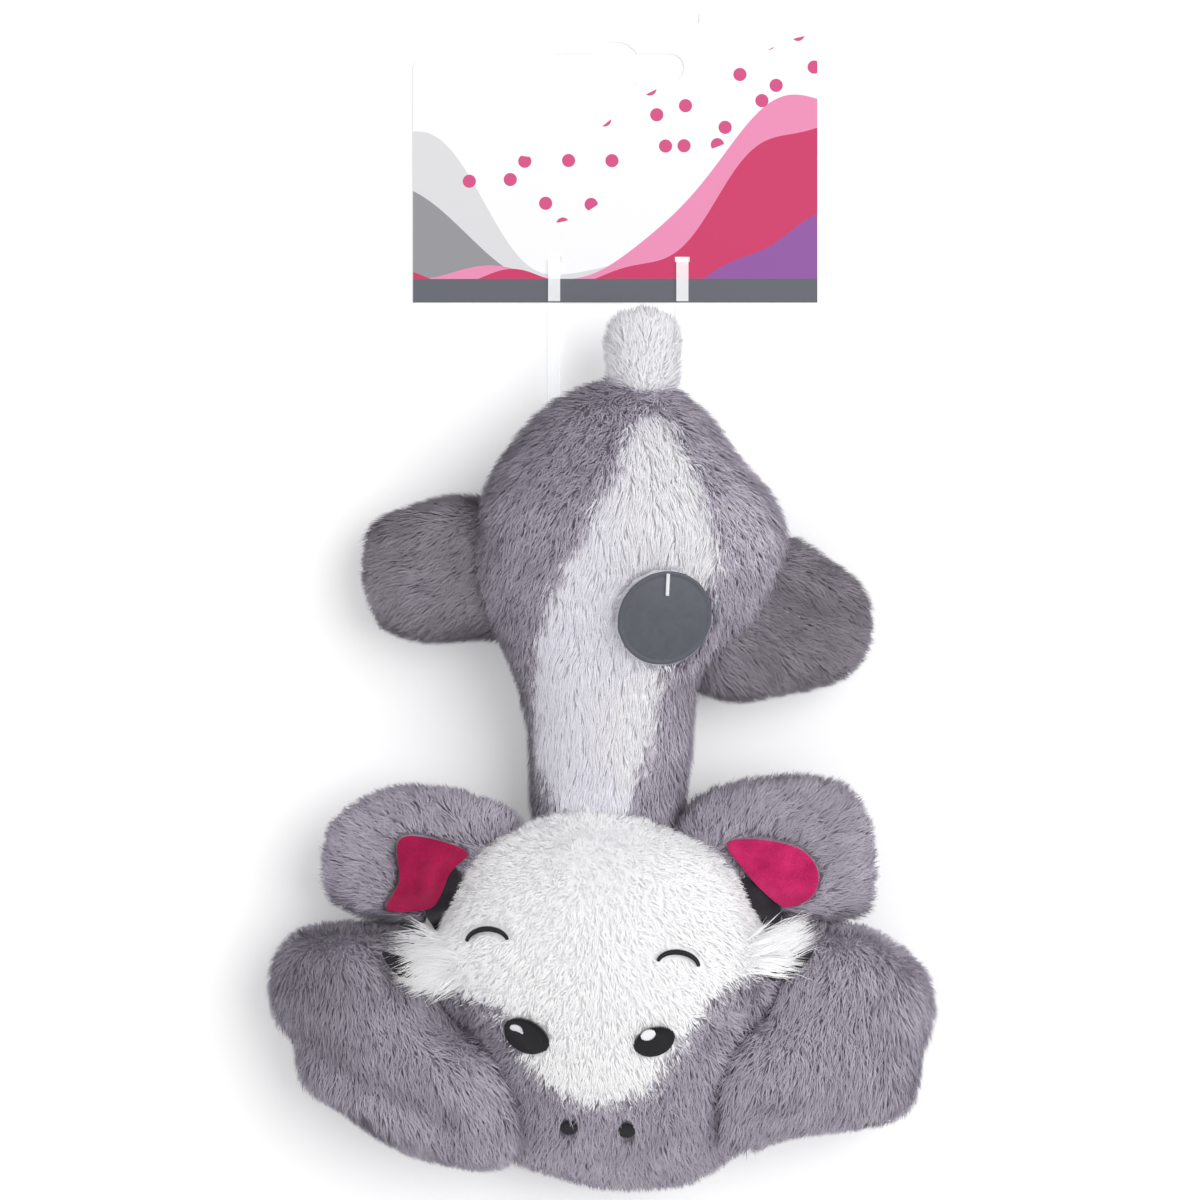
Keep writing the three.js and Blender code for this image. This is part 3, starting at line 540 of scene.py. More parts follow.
def press_fold(mesh, line, width, depth):
    """A soft groove in the upper side of a mesh, along a line seen from above."""
    points = points_of(mesh)
    path = np.array(line) * mm
    near = np.full(len(points), 1e9)
    for a, b in zip(path[:-1], path[1:]):
        along = np.clip(((points[:, :2] - a) @ (b - a)) / ((b - a) @ (b - a)), 0, 1)
        near = np.minimum(near, np.linalg.norm(points[:, :2] - (a + along[:, None] * (b - a)), axis=1))
    level = (points[:, 2] - points[:, 2].min()) / np.ptp(points[:, 2])
    # Nothing gives in the lowest third, and the top gives most
    press = depth * mm * np.exp(-(near / (width * mm)) ** 2) * np.clip(level * 2 - 0.7, 0, 1)
    points[:, 2] -= press
    set_points(mesh, points)


for limb, line, width, depth in folds:
    press_fold(bags[limb].data, line, width, depth)


def keep_inside(mesh, outer, margin):
    """Points that lie outside another mesh, or just inside it, go in to a margin below its surface."""
    shell = shell_tree([outer])
    for vert in mesh.vertices:
        near, way, _, _ = shell.find_nearest(vert.co)
        if (vert.co - near).dot(way) > -margin:
            vert.co = near - way * margin
    mesh.update()


# Warp-knitted polyester, matt, dyed grey or left white as the pile on it is
backings = {}
for name, ground_code in (("grey", "#a8a2b1"), ("white", "#f6f5fa")):
    knit, tree = new_material(f"warp_knitted_backing_{name}")
    place = add_node(tree, "ShaderNodeTexCoord").outputs["Object"]
    # Wales of the knit, 0.9 mm apart, and drawn twice as wide so that they show
    loops = add_node(tree, "ShaderNodeTexWave",
                     {"Vector": place, "Scale": 1 / (0.9 * mm) / 6.28, "Distortion": 2, "Detail": 1},
                     bands_direction="X")
    # The cloth is white under the white plush
    inside = add_node(tree, "ShaderNodeAttribute", attribute_name="white_share")
    inside = add_node(tree, "ShaderNodeMapRange",
                      {"Value": inside.outputs["Fac"], "From Min": 1.5 * mm, "From Max": 3 * mm})
    ground = add_node(tree, "ShaderNodeMix",
                      {"Factor": inside.outputs[0], 6: paint(ground_code), 7: paint("#fafafc")},
                      data_type="RGBA")
    pick = add_node(tree, "ShaderNodeTexNoise", {"Vector": place, "Scale": 1 / (2 * mm), "Detail": 3})
    tone = add_node(tree, "ShaderNodeMapRange", {"Value": pick.outputs[0], "To Min": 0.9, "To Max": 1.02})
    shade = add_node(tree, "ShaderNodeMix", {"Factor": 1.0, 6: ground.outputs[2], 7: tone.outputs[0]},
                     data_type="RGBA", blend_type="MULTIPLY")
    relief = add_node(tree, "ShaderNodeBump",
                      {"Height": loops.outputs[0], "Strength": 0.3, "Distance": 0.2 * mm})
    body = add_node(tree, "ShaderNodeBsdfPrincipled",
                    {"Base Color": shade.outputs[2], "Roughness": 0.95, "Specular IOR Level": 0.2,
                     "Normal": relief.outputs[0]})
    add_node(tree, "ShaderNodeOutputMaterial", {"Surface": body.outputs[0]})
    backings[name] = knit

# Loose crimped fibre, quite matt, with wisps 1.5 mm apart
wadding, tree = new_material("polyester_fibre_fill")
place = add_node(tree, "ShaderNodeTexCoord").outputs["Object"]
wisps = add_node(tree, "ShaderNodeTexNoise",
                 {"Vector": place, "Scale": 1 / (1.5 * mm), "Detail": 5, "Distortion": 2})
tone = add_node(tree, "ShaderNodeMix",
                {"Factor": wisps.outputs[0], 6: paint("#dcd9d0"), 7: paint("#fbfaf6")}, data_type="RGBA")
relief = add_node(tree, "ShaderNodeBump",
                  {"Height": wisps.outputs[0], "Strength": 0.6, "Distance": 0.6 * mm})
body = add_node(tree, "ShaderNodeBsdfPrincipled",
                {"Base Color": tone.outputs[2], "Roughness": 1, "Specular IOR Level": 0.1,
                 "Normal": relief.outputs[0]})
add_node(tree, "ShaderNodeOutputMaterial", {"Surface": body.outputs[0]})

# Under the badge the torso has a well, as deep as the badge's patch of plush goes when it is pressed
badge_radius, badge_travel = 11 * mm, 4 * mm
well_gap, well_inset, bore_room, bore_spread = 0.6 * mm, 0.9 * mm, 3 * mm, 0.1
cad_badge = points_of(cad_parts["press_badge"].data)
badge_middle = (cad_badge.min(axis=0) + cad_badge.max(axis=0)) / 2
badge_normal = np.linalg.svd(cad_badge - cad_badge.mean(axis=0))[2][2]
badge_normal *= math.copysign(1, badge_normal[2])
patch_depth = ((points_of(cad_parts["press_patch"].data) - badge_middle) @ badge_normal).min()


def widen_bore(mesh):
    """The filling's bore opens out under the badge, so that the patch's pile goes down it freely."""
    points = points_of(mesh)
    off = points[:, :2] - badge_middle[:2]
    away = np.linalg.norm(off, axis=1)
    wall = badge_radius + bore_room
    near = (away < wall) & (points[:, 2] > badge_middle[2] - wall)
    new_away = wall + bore_spread * (away - badge_radius)
    wider = badge_middle[:2] + off * (new_away / np.maximum(away, 1e-9))[:, None]
    points[:, :2] = np.where(near[:, None], wider, points[:, :2])
    set_points(mesh, points)


def sink_well(mesh):
    """Points under the badge go straight down to the well's floor, which is parallel to the badge."""
    points = points_of(mesh)
    off = points - badge_middle
    floor = (patch_depth - well_gap) / badge_normal[2] - badge_travel
    floor = badge_middle[2] + floor - off[:, :2] @ badge_normal[:2] / badge_normal[2]
    inside = np.linalg.norm(off[:, :2], axis=1) < badge_radius - well_inset
    points[:, 2] = np.where(inside & (points[:, 2] > floor), floor, points[:, 2])
    set_points(mesh, points)


def merged_copy(node):
    """A CAD node's mesh, with the points at one place made one."""
    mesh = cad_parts[node].data.copy()
    form = bmesh.new()
    form.from_mesh(mesh)
    bmesh.ops.remove_doubles(form, verts=form.verts, dist=same_place)
    form.to_mesh(mesh)
    form.free()
    return mesh


def smooth_faces(mesh):
    """The mesh is shaded smooth."""
    mesh.polygons.foreach_set("use_smooth", [True] * len(mesh.polygons))


fill_margin = 1.2 * mm
for limb, bag in bags.items():
    smooth = bag.modifiers.new("smooth", "SUBSURF")
    smooth.levels = smooth.render_levels = 1
    finished(bag)
    smooth_faces(bag.data)
    dress(bag.data, backings["white" if limb == "tail" else "grey"])
    carried(bag, limb)

    # The loose filling keeps its own hollows, such as the squeaker's room, and ends inside the bag
    stuffing = f"{limb}_stuffing"
    fill_mesh = merged_copy(stuffing)
    if limb == "torso":
        widen_bore(fill_mesh)
    keep_inside(fill_mesh, bag.data, fill_margin)
    dress(fill_mesh, wadding)
    fill = new_object(f"{limb}_fibre_fill", fill_mesh)
    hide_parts(stuffing)
    carried(fill, limb)
    if limb == "torso":
        sink_well(bag.data)

# The patch of plush that the badge is fixed on goes down with it
patch_mesh = merged_copy("press_patch")
dress(patch_mesh, backings["grey"])
patch = new_object("press_patch_backing", patch_mesh)
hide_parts("press_patch")
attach(patch, "press_button")


# Felt trims: the magenta lining of each ear with its black root, and a black tab at each cheek.
# Needled polyester felt, 1.2 mm thick, die-cut and sewn on flat, with a soft matt nap.
felt_thickness, root_lift, lining_lift, tab_lift = 1.2 * mm, 0.5 * mm, 0.9 * mm, 0.4 * mm
tab_drape = 1.5 * mm


def host_tree(nodes):
    """What a trim lies on: the outside of some CAD nodes."""
    return shell_tree([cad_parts[node].data for node in nodes])


def smooth_outline(corners, count):
    """A closed curve through some corners, as evenly numbered points in metres."""
    ring = np.array(corners, float) * mm
    spans = []
    for i in range(len(ring)):
        p0, p1, p2, p3 = (ring[(i + k) % len(ring)] for k in (-1, 0, 1, 2))
        for t in np.arange(count) / count:
            spans.append(0.5 * (2 * p1 + (p2 - p0) * t + (2 * p0 - 5 * p1 + 4 * p2 - p3) * t * t
                                + (3 * p1 - p0 - 3 * p2 + p3) * t ** 3))
    return np.array(spans)


def laid_sheet(name, outline, host, lift, thickness, rings=7, puff=0, drape=1):
    """A sheet inside an outline seen from above, which lies on its host and has a thickness. Its middle
    may puff up, and it hangs no further than the drape above and below its middle level."""
    centre = outline.mean(axis=0)
    count = len(outline)
    points = [centre]
    for k in range(1, rings + 1):
        points += [centre + (p - centre) * k / rings for p in outline]
    faces = [(0, 1 + i, 1 + (i + 1) % count) for i in range(count)]
    for k in range(rings - 1):
        low, high = 1 + k * count, 1 + (k + 1) * count
        faces += [(low + i, high + i, high + (i + 1) % count, low + (i + 1) % count) for i in range(count)]
    levels = []
    for x, y in points:
        hit = host.ray_cast(Vector((x, y, 1)), Vector((0, 0, -1)))[0]
        levels.append(None if hit is None else hit.z)
    known = [z for z in levels if z is not None]
    middle, lowest = sorted(known)[len(known) // 2], min(known)
    levels = [min(max(lowest if z is None else z, middle - drape), middle + drape) for z in levels]
    shares = [0] + [k / rings for k in range(1, rings + 1) for _ in range(count)]
    verts = [(x, y, z + lift + puff * (1 - s * s)) for (x, y), z, s in zip(points, levels, shares)]
    mesh = bpy.data.meshes.new(name)
    mesh.from_pydata(verts, [], faces)
    sheet = new_object(name, mesh)
    form = bmesh.new()
    form.from_mesh(mesh)
    bmesh.ops.recalc_face_normals(form, faces=form.faces)
    if sum(f.normal.z for f in form.faces) < 0:
        bmesh.ops.reverse_faces(form, faces=form.faces)
    for _ in range(3):
        bmesh.ops.smooth_vert(form, verts=form.verts, factor=0.5, use_axis_z=True)
    form.to_mesh(mesh)
    form.free()
    wall = sheet.modifiers.new("wall", "SOLIDIFY")
    wall.thickness = thickness
    wall.offset = 1
    round_edge = sheet.modifiers.new("round_edge", "BEVEL")
    round_edge.width = thickness * 0.3
    round_edge.segments = 2
    round_edge.limit_method = "ANGLE"
    round_edge.angle_limit = math.radians(50)
    finished(sheet)
    smooth_faces(sheet.data)
    return sheet


# The left ear's lining is painted darker than the right one: painted shade, as it faces away from
# the light
felts = {}
for name, dark, light in (("magenta_left", "#870a3b", "#b0174f"), ("magenta_right", "#a5124e", "#d72c70"),
                          ("black", "#1a151a", "#35303a")):
    felt, tree = new_material(f"needled_felt_{name}")
    place = add_node(tree, "ShaderNodeTexCoord").outputs["Object"]
    # Matted fibres about 0.3 mm apart, and slow clouds where the nap lies another way
    fibre = add_node(tree, "ShaderNodeTexNoise",
                     {"Vector": place, "Scale": 1 / (0.35 * mm), "Detail": 4, "Distortion": 1.5})
    clouds = add_node(tree, "ShaderNodeTexNoise", {"Vector": place, "Scale": 1 / (5 * mm), "Detail": 2})
    tone = add_node(tree, "ShaderNodeMath", {0: fibre.outputs[0], 1: clouds.outputs[0]}, operation="ADD")
    share = add_node(tree, "ShaderNodeMapRange",
                     {"Value": tone.outputs[0], "From Min": 0.7, "From Max": 1.3})
    shade = add_node(tree, "ShaderNodeMix",
                     {"Factor": share.outputs[0], 6: paint(dark), 7: paint(light)}, data_type="RGBA")
    relief = add_node(tree, "ShaderNodeBump",
                      {"Height": fibre.outputs[0], "Strength": 0.5, "Distance": 0.2 * mm})
    body = add_node(tree, "ShaderNodeBsdfPrincipled",
                    {"Base Color": shade.outputs[2], "Roughness": 0.95, "Specular IOR Level": 0.15,
                     "Sheen Weight": 0.25, "Sheen Roughness": 0.5, "Normal": relief.outputs[0]})
    add_node(tree, "ShaderNodeOutputMaterial", {"Surface": body.outputs[0]})
    felts[name] = felt

# The outlines of each ear's lining and root, and of the tabs, seen from above in millimetres
ear_trims = {
    "left": ([(-45.7, -55.8), (-40, -54.9), (-30.4, -58.1), (-34.3, -63.1), (-37.3, -69.5), (-41.1, -71.3),
              (-48.7, -70.9), (-45.7, -64.9)],
             [(-35.5, -61.5), (-32.5, -63.5), (-33.4, -77.6), (-37.5, -76.6), (-40, -70.2)]),
    "right": ([(29, -56.2), (36.6, -55.3), (45.7, -57.6), (49.6, -62.6), (48.5, -67.9), (43.4, -70.6),
               (40, -69.5), (33.1, -62.6)],
              [(32.5, -64.6), (29.8, -76.4), (32.5, -78.5), (41, -73.8), (39.5, -68.5)]),
}
cheek_tabs = {
    "left": [(-49.4, -81), (-46.6, -81.4), (-42, -82.6), (-38.6, -82.4), (-37.8, -84), (-40.6, -86),
             (-44.6, -86.4), (-47.6, -84.4)],
    "right": [(48.6, -80.2), (45.6, -80.8), (41.5, -82.4), (38.4, -81.6), (37, -83.6), (38.4, -86.8),
              (42.2, -86.4), (46.2, -84)],
}
# What the pile leaves bare on each limb
trims = {"torso": [], "head": [], "ear_left": [], "ear_right": []}
for side in ("left", "right"):
    ear = f"ear_{side}"
    host = host_tree([f"{ear}_front_panel"])
    lining_corners, root_corners = ear_trims[side]
    root = laid_sheet(f"{ear}_root_felt_cut", smooth_outline(root_corners, 8), host, root_lift,
                      felt_thickness)
    root.data.materials.append(felts["black"])
    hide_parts(f"{ear}_root_felt")
    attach(root, ear)
    lining = laid_sheet(f"{ear}_lining_cut", smooth_outline(lining_corners, 8), host, lining_lift,
                        felt_thickness, rings=9)
    # A ridge runs up the left lining, where the ear is bent
    if side == "left":
        press_fold(lining.data, [(-33, -56), (-38.5, -62), (-41, -72)], 1.6, -1.2)
    lining.data.materials.append(felts[f"magenta_{side}"])
    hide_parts(f"{ear}_lining")
    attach(lining, ear)
    trims[ear] += [root, lining]
    # The black tab lies in the dark gap under the cheek's white tuft, where the head meets the paw: it is
    # partly black felt and partly painted shade
    tab = laid_sheet(f"cheek_tab_{side}_cut", smooth_outline(cheek_tabs[side], 6),
                     host_tree(["head_face_panel", f"{ear}_front_panel", f"front_paw_{side}_upper_panel"]),
                     tab_lift, felt_thickness, rings=4, drape=tab_drape)
    tab.data.materials.append(felts["black"])
    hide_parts(f"cheek_tab_{side}")
    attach(tab, "head")


# Embroidery: eyes, highlights, brows and nostrils in satin stitch. Rayon threads lie side by side
# over a low padding, and each shines along its middle.
thread_width = 0.42 * mm
thread_swell, thread_step = 1.35, 0.8
threads = {}
for name, code in (("black", "#0e0c12"), ("white", "#f6f6fa")):
    rayon, tree = new_material(f"rayon_thread_{name}")
    place = add_node(tree, "ShaderNodeTexCoord").outputs["Object"]
    # The twist of a thread, 0.2 mm apart
    twist = add_node(tree, "ShaderNodeTexNoise", {"Vector": place, "Scale": 1 / (0.2 * mm), "Detail": 2})
    relief = add_node(tree, "ShaderNodeBump",
                      {"Height": twist.outputs[0], "Strength": 0.25, "Distance": 0.05 * mm})
    tone = add_node(tree, "ShaderNodeMapRange", {"Value": twist.outputs[0], "To Min": 0.8, "To Max": 1.15})
    shade = add_node(tree, "ShaderNodeMix", {"Factor": 1.0, 6: paint(code), 7: tone.outputs[0]},
                     data_type="RGBA", blend_type="MULTIPLY")
    body = add_node(tree, "ShaderNodeBsdfPrincipled",
                    {"Base Color": shade.outputs[2], "Roughness": 0.42, "Specular IOR Level": 0.3,
                     "Normal": relief.outputs[0]})
    add_node(tree, "ShaderNodeOutputMaterial", {"Surface": body.outputs[0]})
    threads[name] = rayon


def named_inputs(tree, sockets):
    """The tree's inputs by name, and the identifier of each."""
    made = {}
    for name, kind, value in sockets:
        socket = tree.interface.new_socket(name, in_out="INPUT", socket_type=kind)
        if value is not None:
            socket.default_value = value
        made[name] = socket.identifier
    return made


stitch_tree = bpy.data.node_groups.new("satin_stitch", "GeometryNodeTree")
stitch_tree.interface.new_socket("Geometry", in_out="INPUT", socket_type="NodeSocketGeometry")
stitch_tree.interface.new_socket("Geometry", in_out="OUTPUT", socket_type="NodeSocketGeometry")
stitch_inputs = named_inputs(stitch_tree, [
    ("Thread", "NodeSocketFloat", thread_width),
    ("Lift", "NodeSocketFloat", 0.5 * mm),
    ("Host", "NodeSocketObject", None),
    ("Material", "NodeSocketMaterial", None),
])
tree = stitch_tree
given = add_node(tree, "NodeGroupInput").outputs
spindle = add_node(tree, "GeometryNodeMeshUVSphere", {"Segments": 6, "Rings": 8, "Radius": 0.5})
reach_field = add_node(tree, "GeometryNodeInputNamedAttribute", {"Name": "reach"}, data_type="FLOAT")
turn_field = add_node(tree, "GeometryNodeInputNamedAttribute", {"Name": "turn"}, data_type="FLOAT")
thread_size = add_node(tree, "ShaderNodeCombineXYZ", {0: given["Thread"], 1: given["Thread"],
                                                      2: reach_field.outputs[0]})
thread_turn = add_node(tree, "ShaderNodeCombineXYZ", {0: math.pi / 2, 2: turn_field.outputs[0]})
laid = add_node(tree, "GeometryNodeInstanceOnPoints",
                {"Points": given["Geometry"], "Instance": spindle.outputs[0],
                 "Rotation": thread_turn.outputs[0], "Scale": thread_size.outputs[0]})
real = add_node(tree, "GeometryNodeRealizeInstances", {0: laid.outputs[0]})
# Each thread is laid down on its host
spot = add_node(tree, "GeometryNodeInputPosition")
spot_axes = add_node(tree, "ShaderNodeSeparateXYZ", {0: spot.outputs[0]})
over = add_node(tree, "ShaderNodeCombineXYZ", {0: spot_axes.outputs[0], 1: spot_axes.outputs[1], 2: 1.0})
host_info = add_node(tree, "GeometryNodeObjectInfo", {"Object": given["Host"]})
drop = add_node(tree, "GeometryNodeRaycast", {"Target Geometry": host_info.outputs["Geometry"],
                                              "Source Position": over.outputs[0],
                                              "Ray Direction": (0, 0, -1), "Ray Length": 2.0})
ground = add_node(tree, "ShaderNodeSeparateXYZ", {0: drop.outputs["Hit Position"]})
raised = add_node(tree, "ShaderNodeMath", {0: ground.outputs[2], 1: given["Lift"]}, operation="ADD")
move = add_node(tree, "ShaderNodeCombineXYZ", {2: raised.outputs[0]})
seated = add_node(tree, "GeometryNodeSetPosition", {"Geometry": real.outputs[0],
                                                    "Selection": drop.outputs["Is Hit"],
                                                    "Offset": move.outputs[0]})
rounded = add_node(tree, "GeometryNodeSetShadeSmooth", {"Geometry": seated.outputs[0]})
coloured = add_node(tree, "GeometryNodeSetMaterial", {"Geometry": rounded.outputs[0],
                                                      "Material": given["Material"]})
add_node(tree, "NodeGroupOutput", {0: coloured.outputs[0]})


def grown(name, mesh, tree, inputs, values):
    """A new piece that a tree grows from a mesh, as plain mesh."""
    made = new_object(name, mesh)
    growth = made.modifiers.new("growth", "NODES")
    growth.node_group = tree
    for key, value in values.items():
        if value is not None:
            growth[inputs[key]] = value
    return finished(made)


def stitch_row(name, spots, reaches, turns):
    """Points where threads lie, with how long each is and which way it runs."""
    mesh = bpy.data.meshes.new(name)
    mesh.from_pydata([(x, y, 0) for x, y in spots], [], [])
    for key, values in (("reach", reaches), ("turn", turns)):
        mesh.attributes.new(key, "FLOAT", "POINT").data.foreach_set("value", values)
    return mesh


def satin(name, mesh, colour, lift):
    """A row of threads on the face, lifted over the backing."""
    return grown(name, mesh, stitch_tree, stitch_inputs,
                 {"Thread": thread_width * thread_swell, "Lift": lift, "Host": bags["head"],
                  "Material": threads[colour]})


def oval_row(name, centre, length, width, degrees):
    """Threads across an oval, shorter towards its ends."""
    turn, shortest = math.radians(degrees), 0.3 * mm
    count = int(length * mm / (thread_width * thread_step))
    shares = [(i + 0.5) / count * 2 - 1 for i in range(count)]
    spots = [((centre[0] + length / 2 * s * math.cos(turn)) * mm,
              (centre[1] + length / 2 * s * math.sin(turn)) * mm) for s in shares]
    reaches = [width * mm * math.sqrt(1 - s * s) + shortest for s in shares]
    return stitch_row(name, spots, reaches, [turn] * count)


def arc_row(name, centre, span, rise, thread, degrees):
    """Threads across a bowed line, as wide as the line, which narrows towards its ends."""
    turn = math.radians(degrees)
    bow_length, first_angle, end_width = 1.35, 0.06, 0.55
    count = int(span * bow_length * mm / (thread_width * thread_step))
    spots, turns, reaches = [], [], []
    for i in range(count):
        angle = math.pi * (first_angle + (1 - 2 * first_angle) * (i + 0.5) / count)
        x, y = span / 2 * math.cos(angle), rise * math.sin(angle)
        spots.append(((centre[0] + x * math.cos(turn) - y * math.sin(turn)) * mm,
                      (centre[1] + x * math.sin(turn) + y * math.cos(turn)) * mm))
        turns.append(turn + math.atan2(span / 2 * math.sin(angle), rise * math.cos(angle)) - math.pi / 2)
        reaches.append(thread * mm * (end_width + (1 - end_width) * math.sin(angle)))
    return stitch_row(name, spots, reaches, turns)


# Middles, sizes and turns of what is embroidered, seen from above in millimetres and degrees
face = {
    "left": {"eye": (-16.5, -99), "eye_turn": -30, "eye_size": (10.8, 7.4), "glint": (-18.8, -97.8),
             "brow": (-25.4, -78), "brow_turn": 4, "nostril": (-7.1, -120.6)},
    "right": {"eye": (12.2, -100.1), "eye_turn": 20, "eye_size": (9.4, 6.6), "glint": (10.8, -98.6),
              "brow": (17.5, -83), "brow_turn": -8, "nostril": (6.1, -121.2)},
}
glint_size, nostril_size = (3.2, 2.3), (3.8, 3.6)
brow_span, brow_rise, brow_width = 9.4, 3.1, 1.35
clearing_span, clearing_width = 9.8, 3.0
# How high each lies over the backing, so that it stands out of the pile
lifts = {"padding": 0.3 * mm, "eye": 1.7 * mm, "glint": 2.1 * mm, "brow": 1.3 * mm,
         "nostril": 1.9 * mm, "clearing": 1.0 * mm}
pad_share, pad_thickness, pad_puff = 0.46, 1.2 * mm, 0.5 * mm
face_backing = shell_tree([bags["head"].data])
brow_clearings = []
for side, spots in face.items():
    length, width = spots["eye_size"]
    turn = math.radians(spots["eye_turn"])
    rim = []
    for angle in np.arange(12) / 12 * math.tau:
        along, across = length * math.cos(angle), width * math.sin(angle)
        rim.append((spots["eye"][0] + pad_share * (along * math.cos(turn) - across * math.sin(turn)),
                    spots["eye"][1] + pad_share * (along * math.sin(turn) + across * math.cos(turn))))
    pad = laid_sheet(f"eye_{side}_padding", smooth_outline(rim, 4), face_backing, lifts["padding"],
                     pad_thickness, rings=4, puff=pad_puff)
    pad.data.materials.append(threads["black"])
    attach(pad, "head")
    eye = satin(f"eye_{side}_satin",
                oval_row(f"eye_{side}_satin", spots["eye"], length, width, spots["eye_turn"]),
                "black", lifts["eye"])
    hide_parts(f"eye_{side}")
    glint = satin(f"eye_highlight_{side}_satin",
                  oval_row(f"eye_highlight_{side}_satin", spots["glint"], *glint_size,
                           spots["eye_turn"]), "white", lifts["glint"])
    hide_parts(f"eye_highlight_{side}")
    brow = satin(f"brow_{side}_satin",
                 arc_row(f"brow_{side}_satin", spots["brow"], brow_span, brow_rise, brow_width,
                         spots["brow_turn"]), "black", lifts["brow"])
    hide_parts(f"brow_{side}")
    nostril = satin(f"nostril_{side}_satin",
                    oval_row(f"nostril_{side}_satin", spots["nostril"], *nostril_size, 0),
                    "black", lifts["nostril"])
    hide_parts(f"nostril_{side}")
    for piece in (eye, glint, brow, nostril):
        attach(piece, "head")
        trims["head"].append(piece)
    # The pile is clipped short on both sides of the brow's thin line
    clearing = satin(f"brow_room_{side}",
                     arc_row(f"brow_room_{side}", spots["brow"], clearing_span, brow_rise,
                             clearing_width, spots["brow_turn"]), "black", lifts["clearing"])
    brow_clearings.append(clearing)
    trims["head"].append(clearing)


# The press badge is a moulded slate-grey disc with a rounded rim, fixed flat on the back's slope
# over the squeaker. A clear tag pin holds it at its top edge.
half_thickness, rim_round, groove_depth = 0.4 * mm, 0.3 * mm, 0.1 * mm
# Half a section: the face, a shallow groove near the rim, the rounded rim and the back
profile = [(badge_radius - 1.6 * mm, half_thickness),
           (badge_radius - 1.3 * mm, half_thickness - groove_depth),
           (badge_radius - 1.0 * mm, half_thickness - groove_depth),
           (badge_radius - 0.7 * mm, half_thickness)]
quarter = np.linspace(0, math.pi / 2, 5)
profile += [(badge_radius - rim_round * (1 - math.sin(a)), half_thickness - rim_round * (1 - math.cos(a)))
            for a in quarter]
profile += [(badge_radius - rim_round * (1 - math.cos(a)), -half_thickness + rim_round * (1 - math.sin(a)))
            for a in quarter]
# It is turned round in steps, between the middle of the face and the middle of the back
steps = 96
ring = [(math.cos(i / steps * math.tau), math.sin(i / steps * math.tau)) for i in range(steps)]
corners = [(0, 0, half_thickness)]
for radius, z in profile:
    corners += [(radius * x, radius * y, z) for x, y in ring]
corners.append((0, 0, -half_thickness))
after = [(i + 1) % steps for i in range(steps)]
faces = [(0, 1 + i, 1 + after[i]) for i in range(steps)]
for low in range(1, 1 + (len(profile) - 1) * steps, steps):
    high = low + steps
    faces += [(low + i, high + i, high + after[i], low + after[i]) for i in range(steps)]
back = len(corners) - 1
faces += [(back, back - steps + after[i], back - steps + i) for i in range(steps)]
badge_mesh = bpy.data.meshes.new("press_badge_disc")
badge_mesh.from_pydata(corners, [], faces)
slope = Vector(badge_normal).to_track_quat("Z", "Y").to_matrix().to_4x4()
badge_mesh.transform(Matrix.Translation(Vector(badge_middle)) @ slope)
smooth_faces(badge_mesh)
# Moulded polystyrene: satin, with cloudy scuffs and the mould's fine grain
slate, tree = new_material("moulded_polystyrene_slate")
place = add_node(tree, "ShaderNodeTexCoord").outputs["Object"]
scuffs = add_node(tree, "ShaderNodeTexNoise",
                  {"Vector": place, "Scale": 1 / (2.5 * mm), "Detail": 5, "Distortion": 1})
fine_grain = add_node(tree, "ShaderNodeTexNoise",
                      {"Vector": place, "Scale": 1 / (0.25 * mm), "Detail": 2})
tone = add_node(tree, "ShaderNodeMix",
                {"Factor": scuffs.outputs[0], 6: paint("#42454d"), 7: paint("#565962")},
                data_type="RGBA")
gloss = add_node(tree, "ShaderNodeMapRange",
                 {"Value": scuffs.outputs[0], "To Min": 0.35, "To Max": 0.6})
relief = add_node(tree, "ShaderNodeBump",
                  {"Height": fine_grain.outputs[0], "Strength": 0.15, "Distance": 0.05 * mm})
body = add_node(tree, "ShaderNodeBsdfPrincipled",
                {"Base Color": tone.outputs[2], "Roughness": gloss.outputs[0],
                 "Normal": relief.outputs[0]})
add_node(tree, "ShaderNodeOutputMaterial", {"Surface": body.outputs[0]})
badge_mesh.materials.append(slate)
badge = new_object("press_badge_disc", badge_mesh)
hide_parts("press_badge")
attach(badge, "press_button")
trims["torso"] = [badge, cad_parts["badge_tag_pin"]]


# The pile: polyester fibres knitted into the backing, brushed one way on each limb, and gathered
# in small tufts. They are drawn about ten times as thick as real ones, so that they show.
pile_tree = bpy.data.node_groups.new("brushed_pile", "GeometryNodeTree")
pile_tree.interface.new_socket("Geometry", in_out="INPUT", socket_type="NodeSocketGeometry")
pile_tree.interface.new_socket("Geometry", in_out="OUTPUT", socket_type="NodeSocketGeometry")
pile_inputs = named_inputs(pile_tree, [
    ("Density", "NodeSocketFloat", 4e6),
    ("Reach", "NodeSocketFloat", 4 * mm),
    ("Rise", "NodeSocketFloat", 3.6 * mm),
    ("Fibre", "NodeSocketFloat", 0.3 * mm),
    ("Comb", "NodeSocketVector", (0, -1, 0)),
    ("Centre", "NodeSocketVector", (0, 0, 0)),
    ("Spread", "NodeSocketFloat", 0.0),
    ("Wave", "NodeSocketFloat", 0.8),
    ("Tuft", "NodeSocketFloat", 3.2 * mm),
    ("Gather", "NodeSocketFloat", 0.6),
    ("Stray", "NodeSocketFloat", 0.4),
    ("Region", "NodeSocketString", "white_share"),
    ("Side", "NodeSocketFloat", 0.0),
    ("Seam", "NodeSocketFloat", 0.0),
    ("Above", "NodeSocketFloat", 1.0),
    ("Buried", "NodeSocketFloat", 0.8 * mm),
    ("Seed", "NodeSocketInt", 1),
    ("Neighbours", "NodeSocketObject", None),
    ("Trims", "NodeSocketObject", None),
    ("Material", "NodeSocketMaterial", None),
])
tree = pile_tree
given = add_node(tree, "NodeGroupInput").outputs
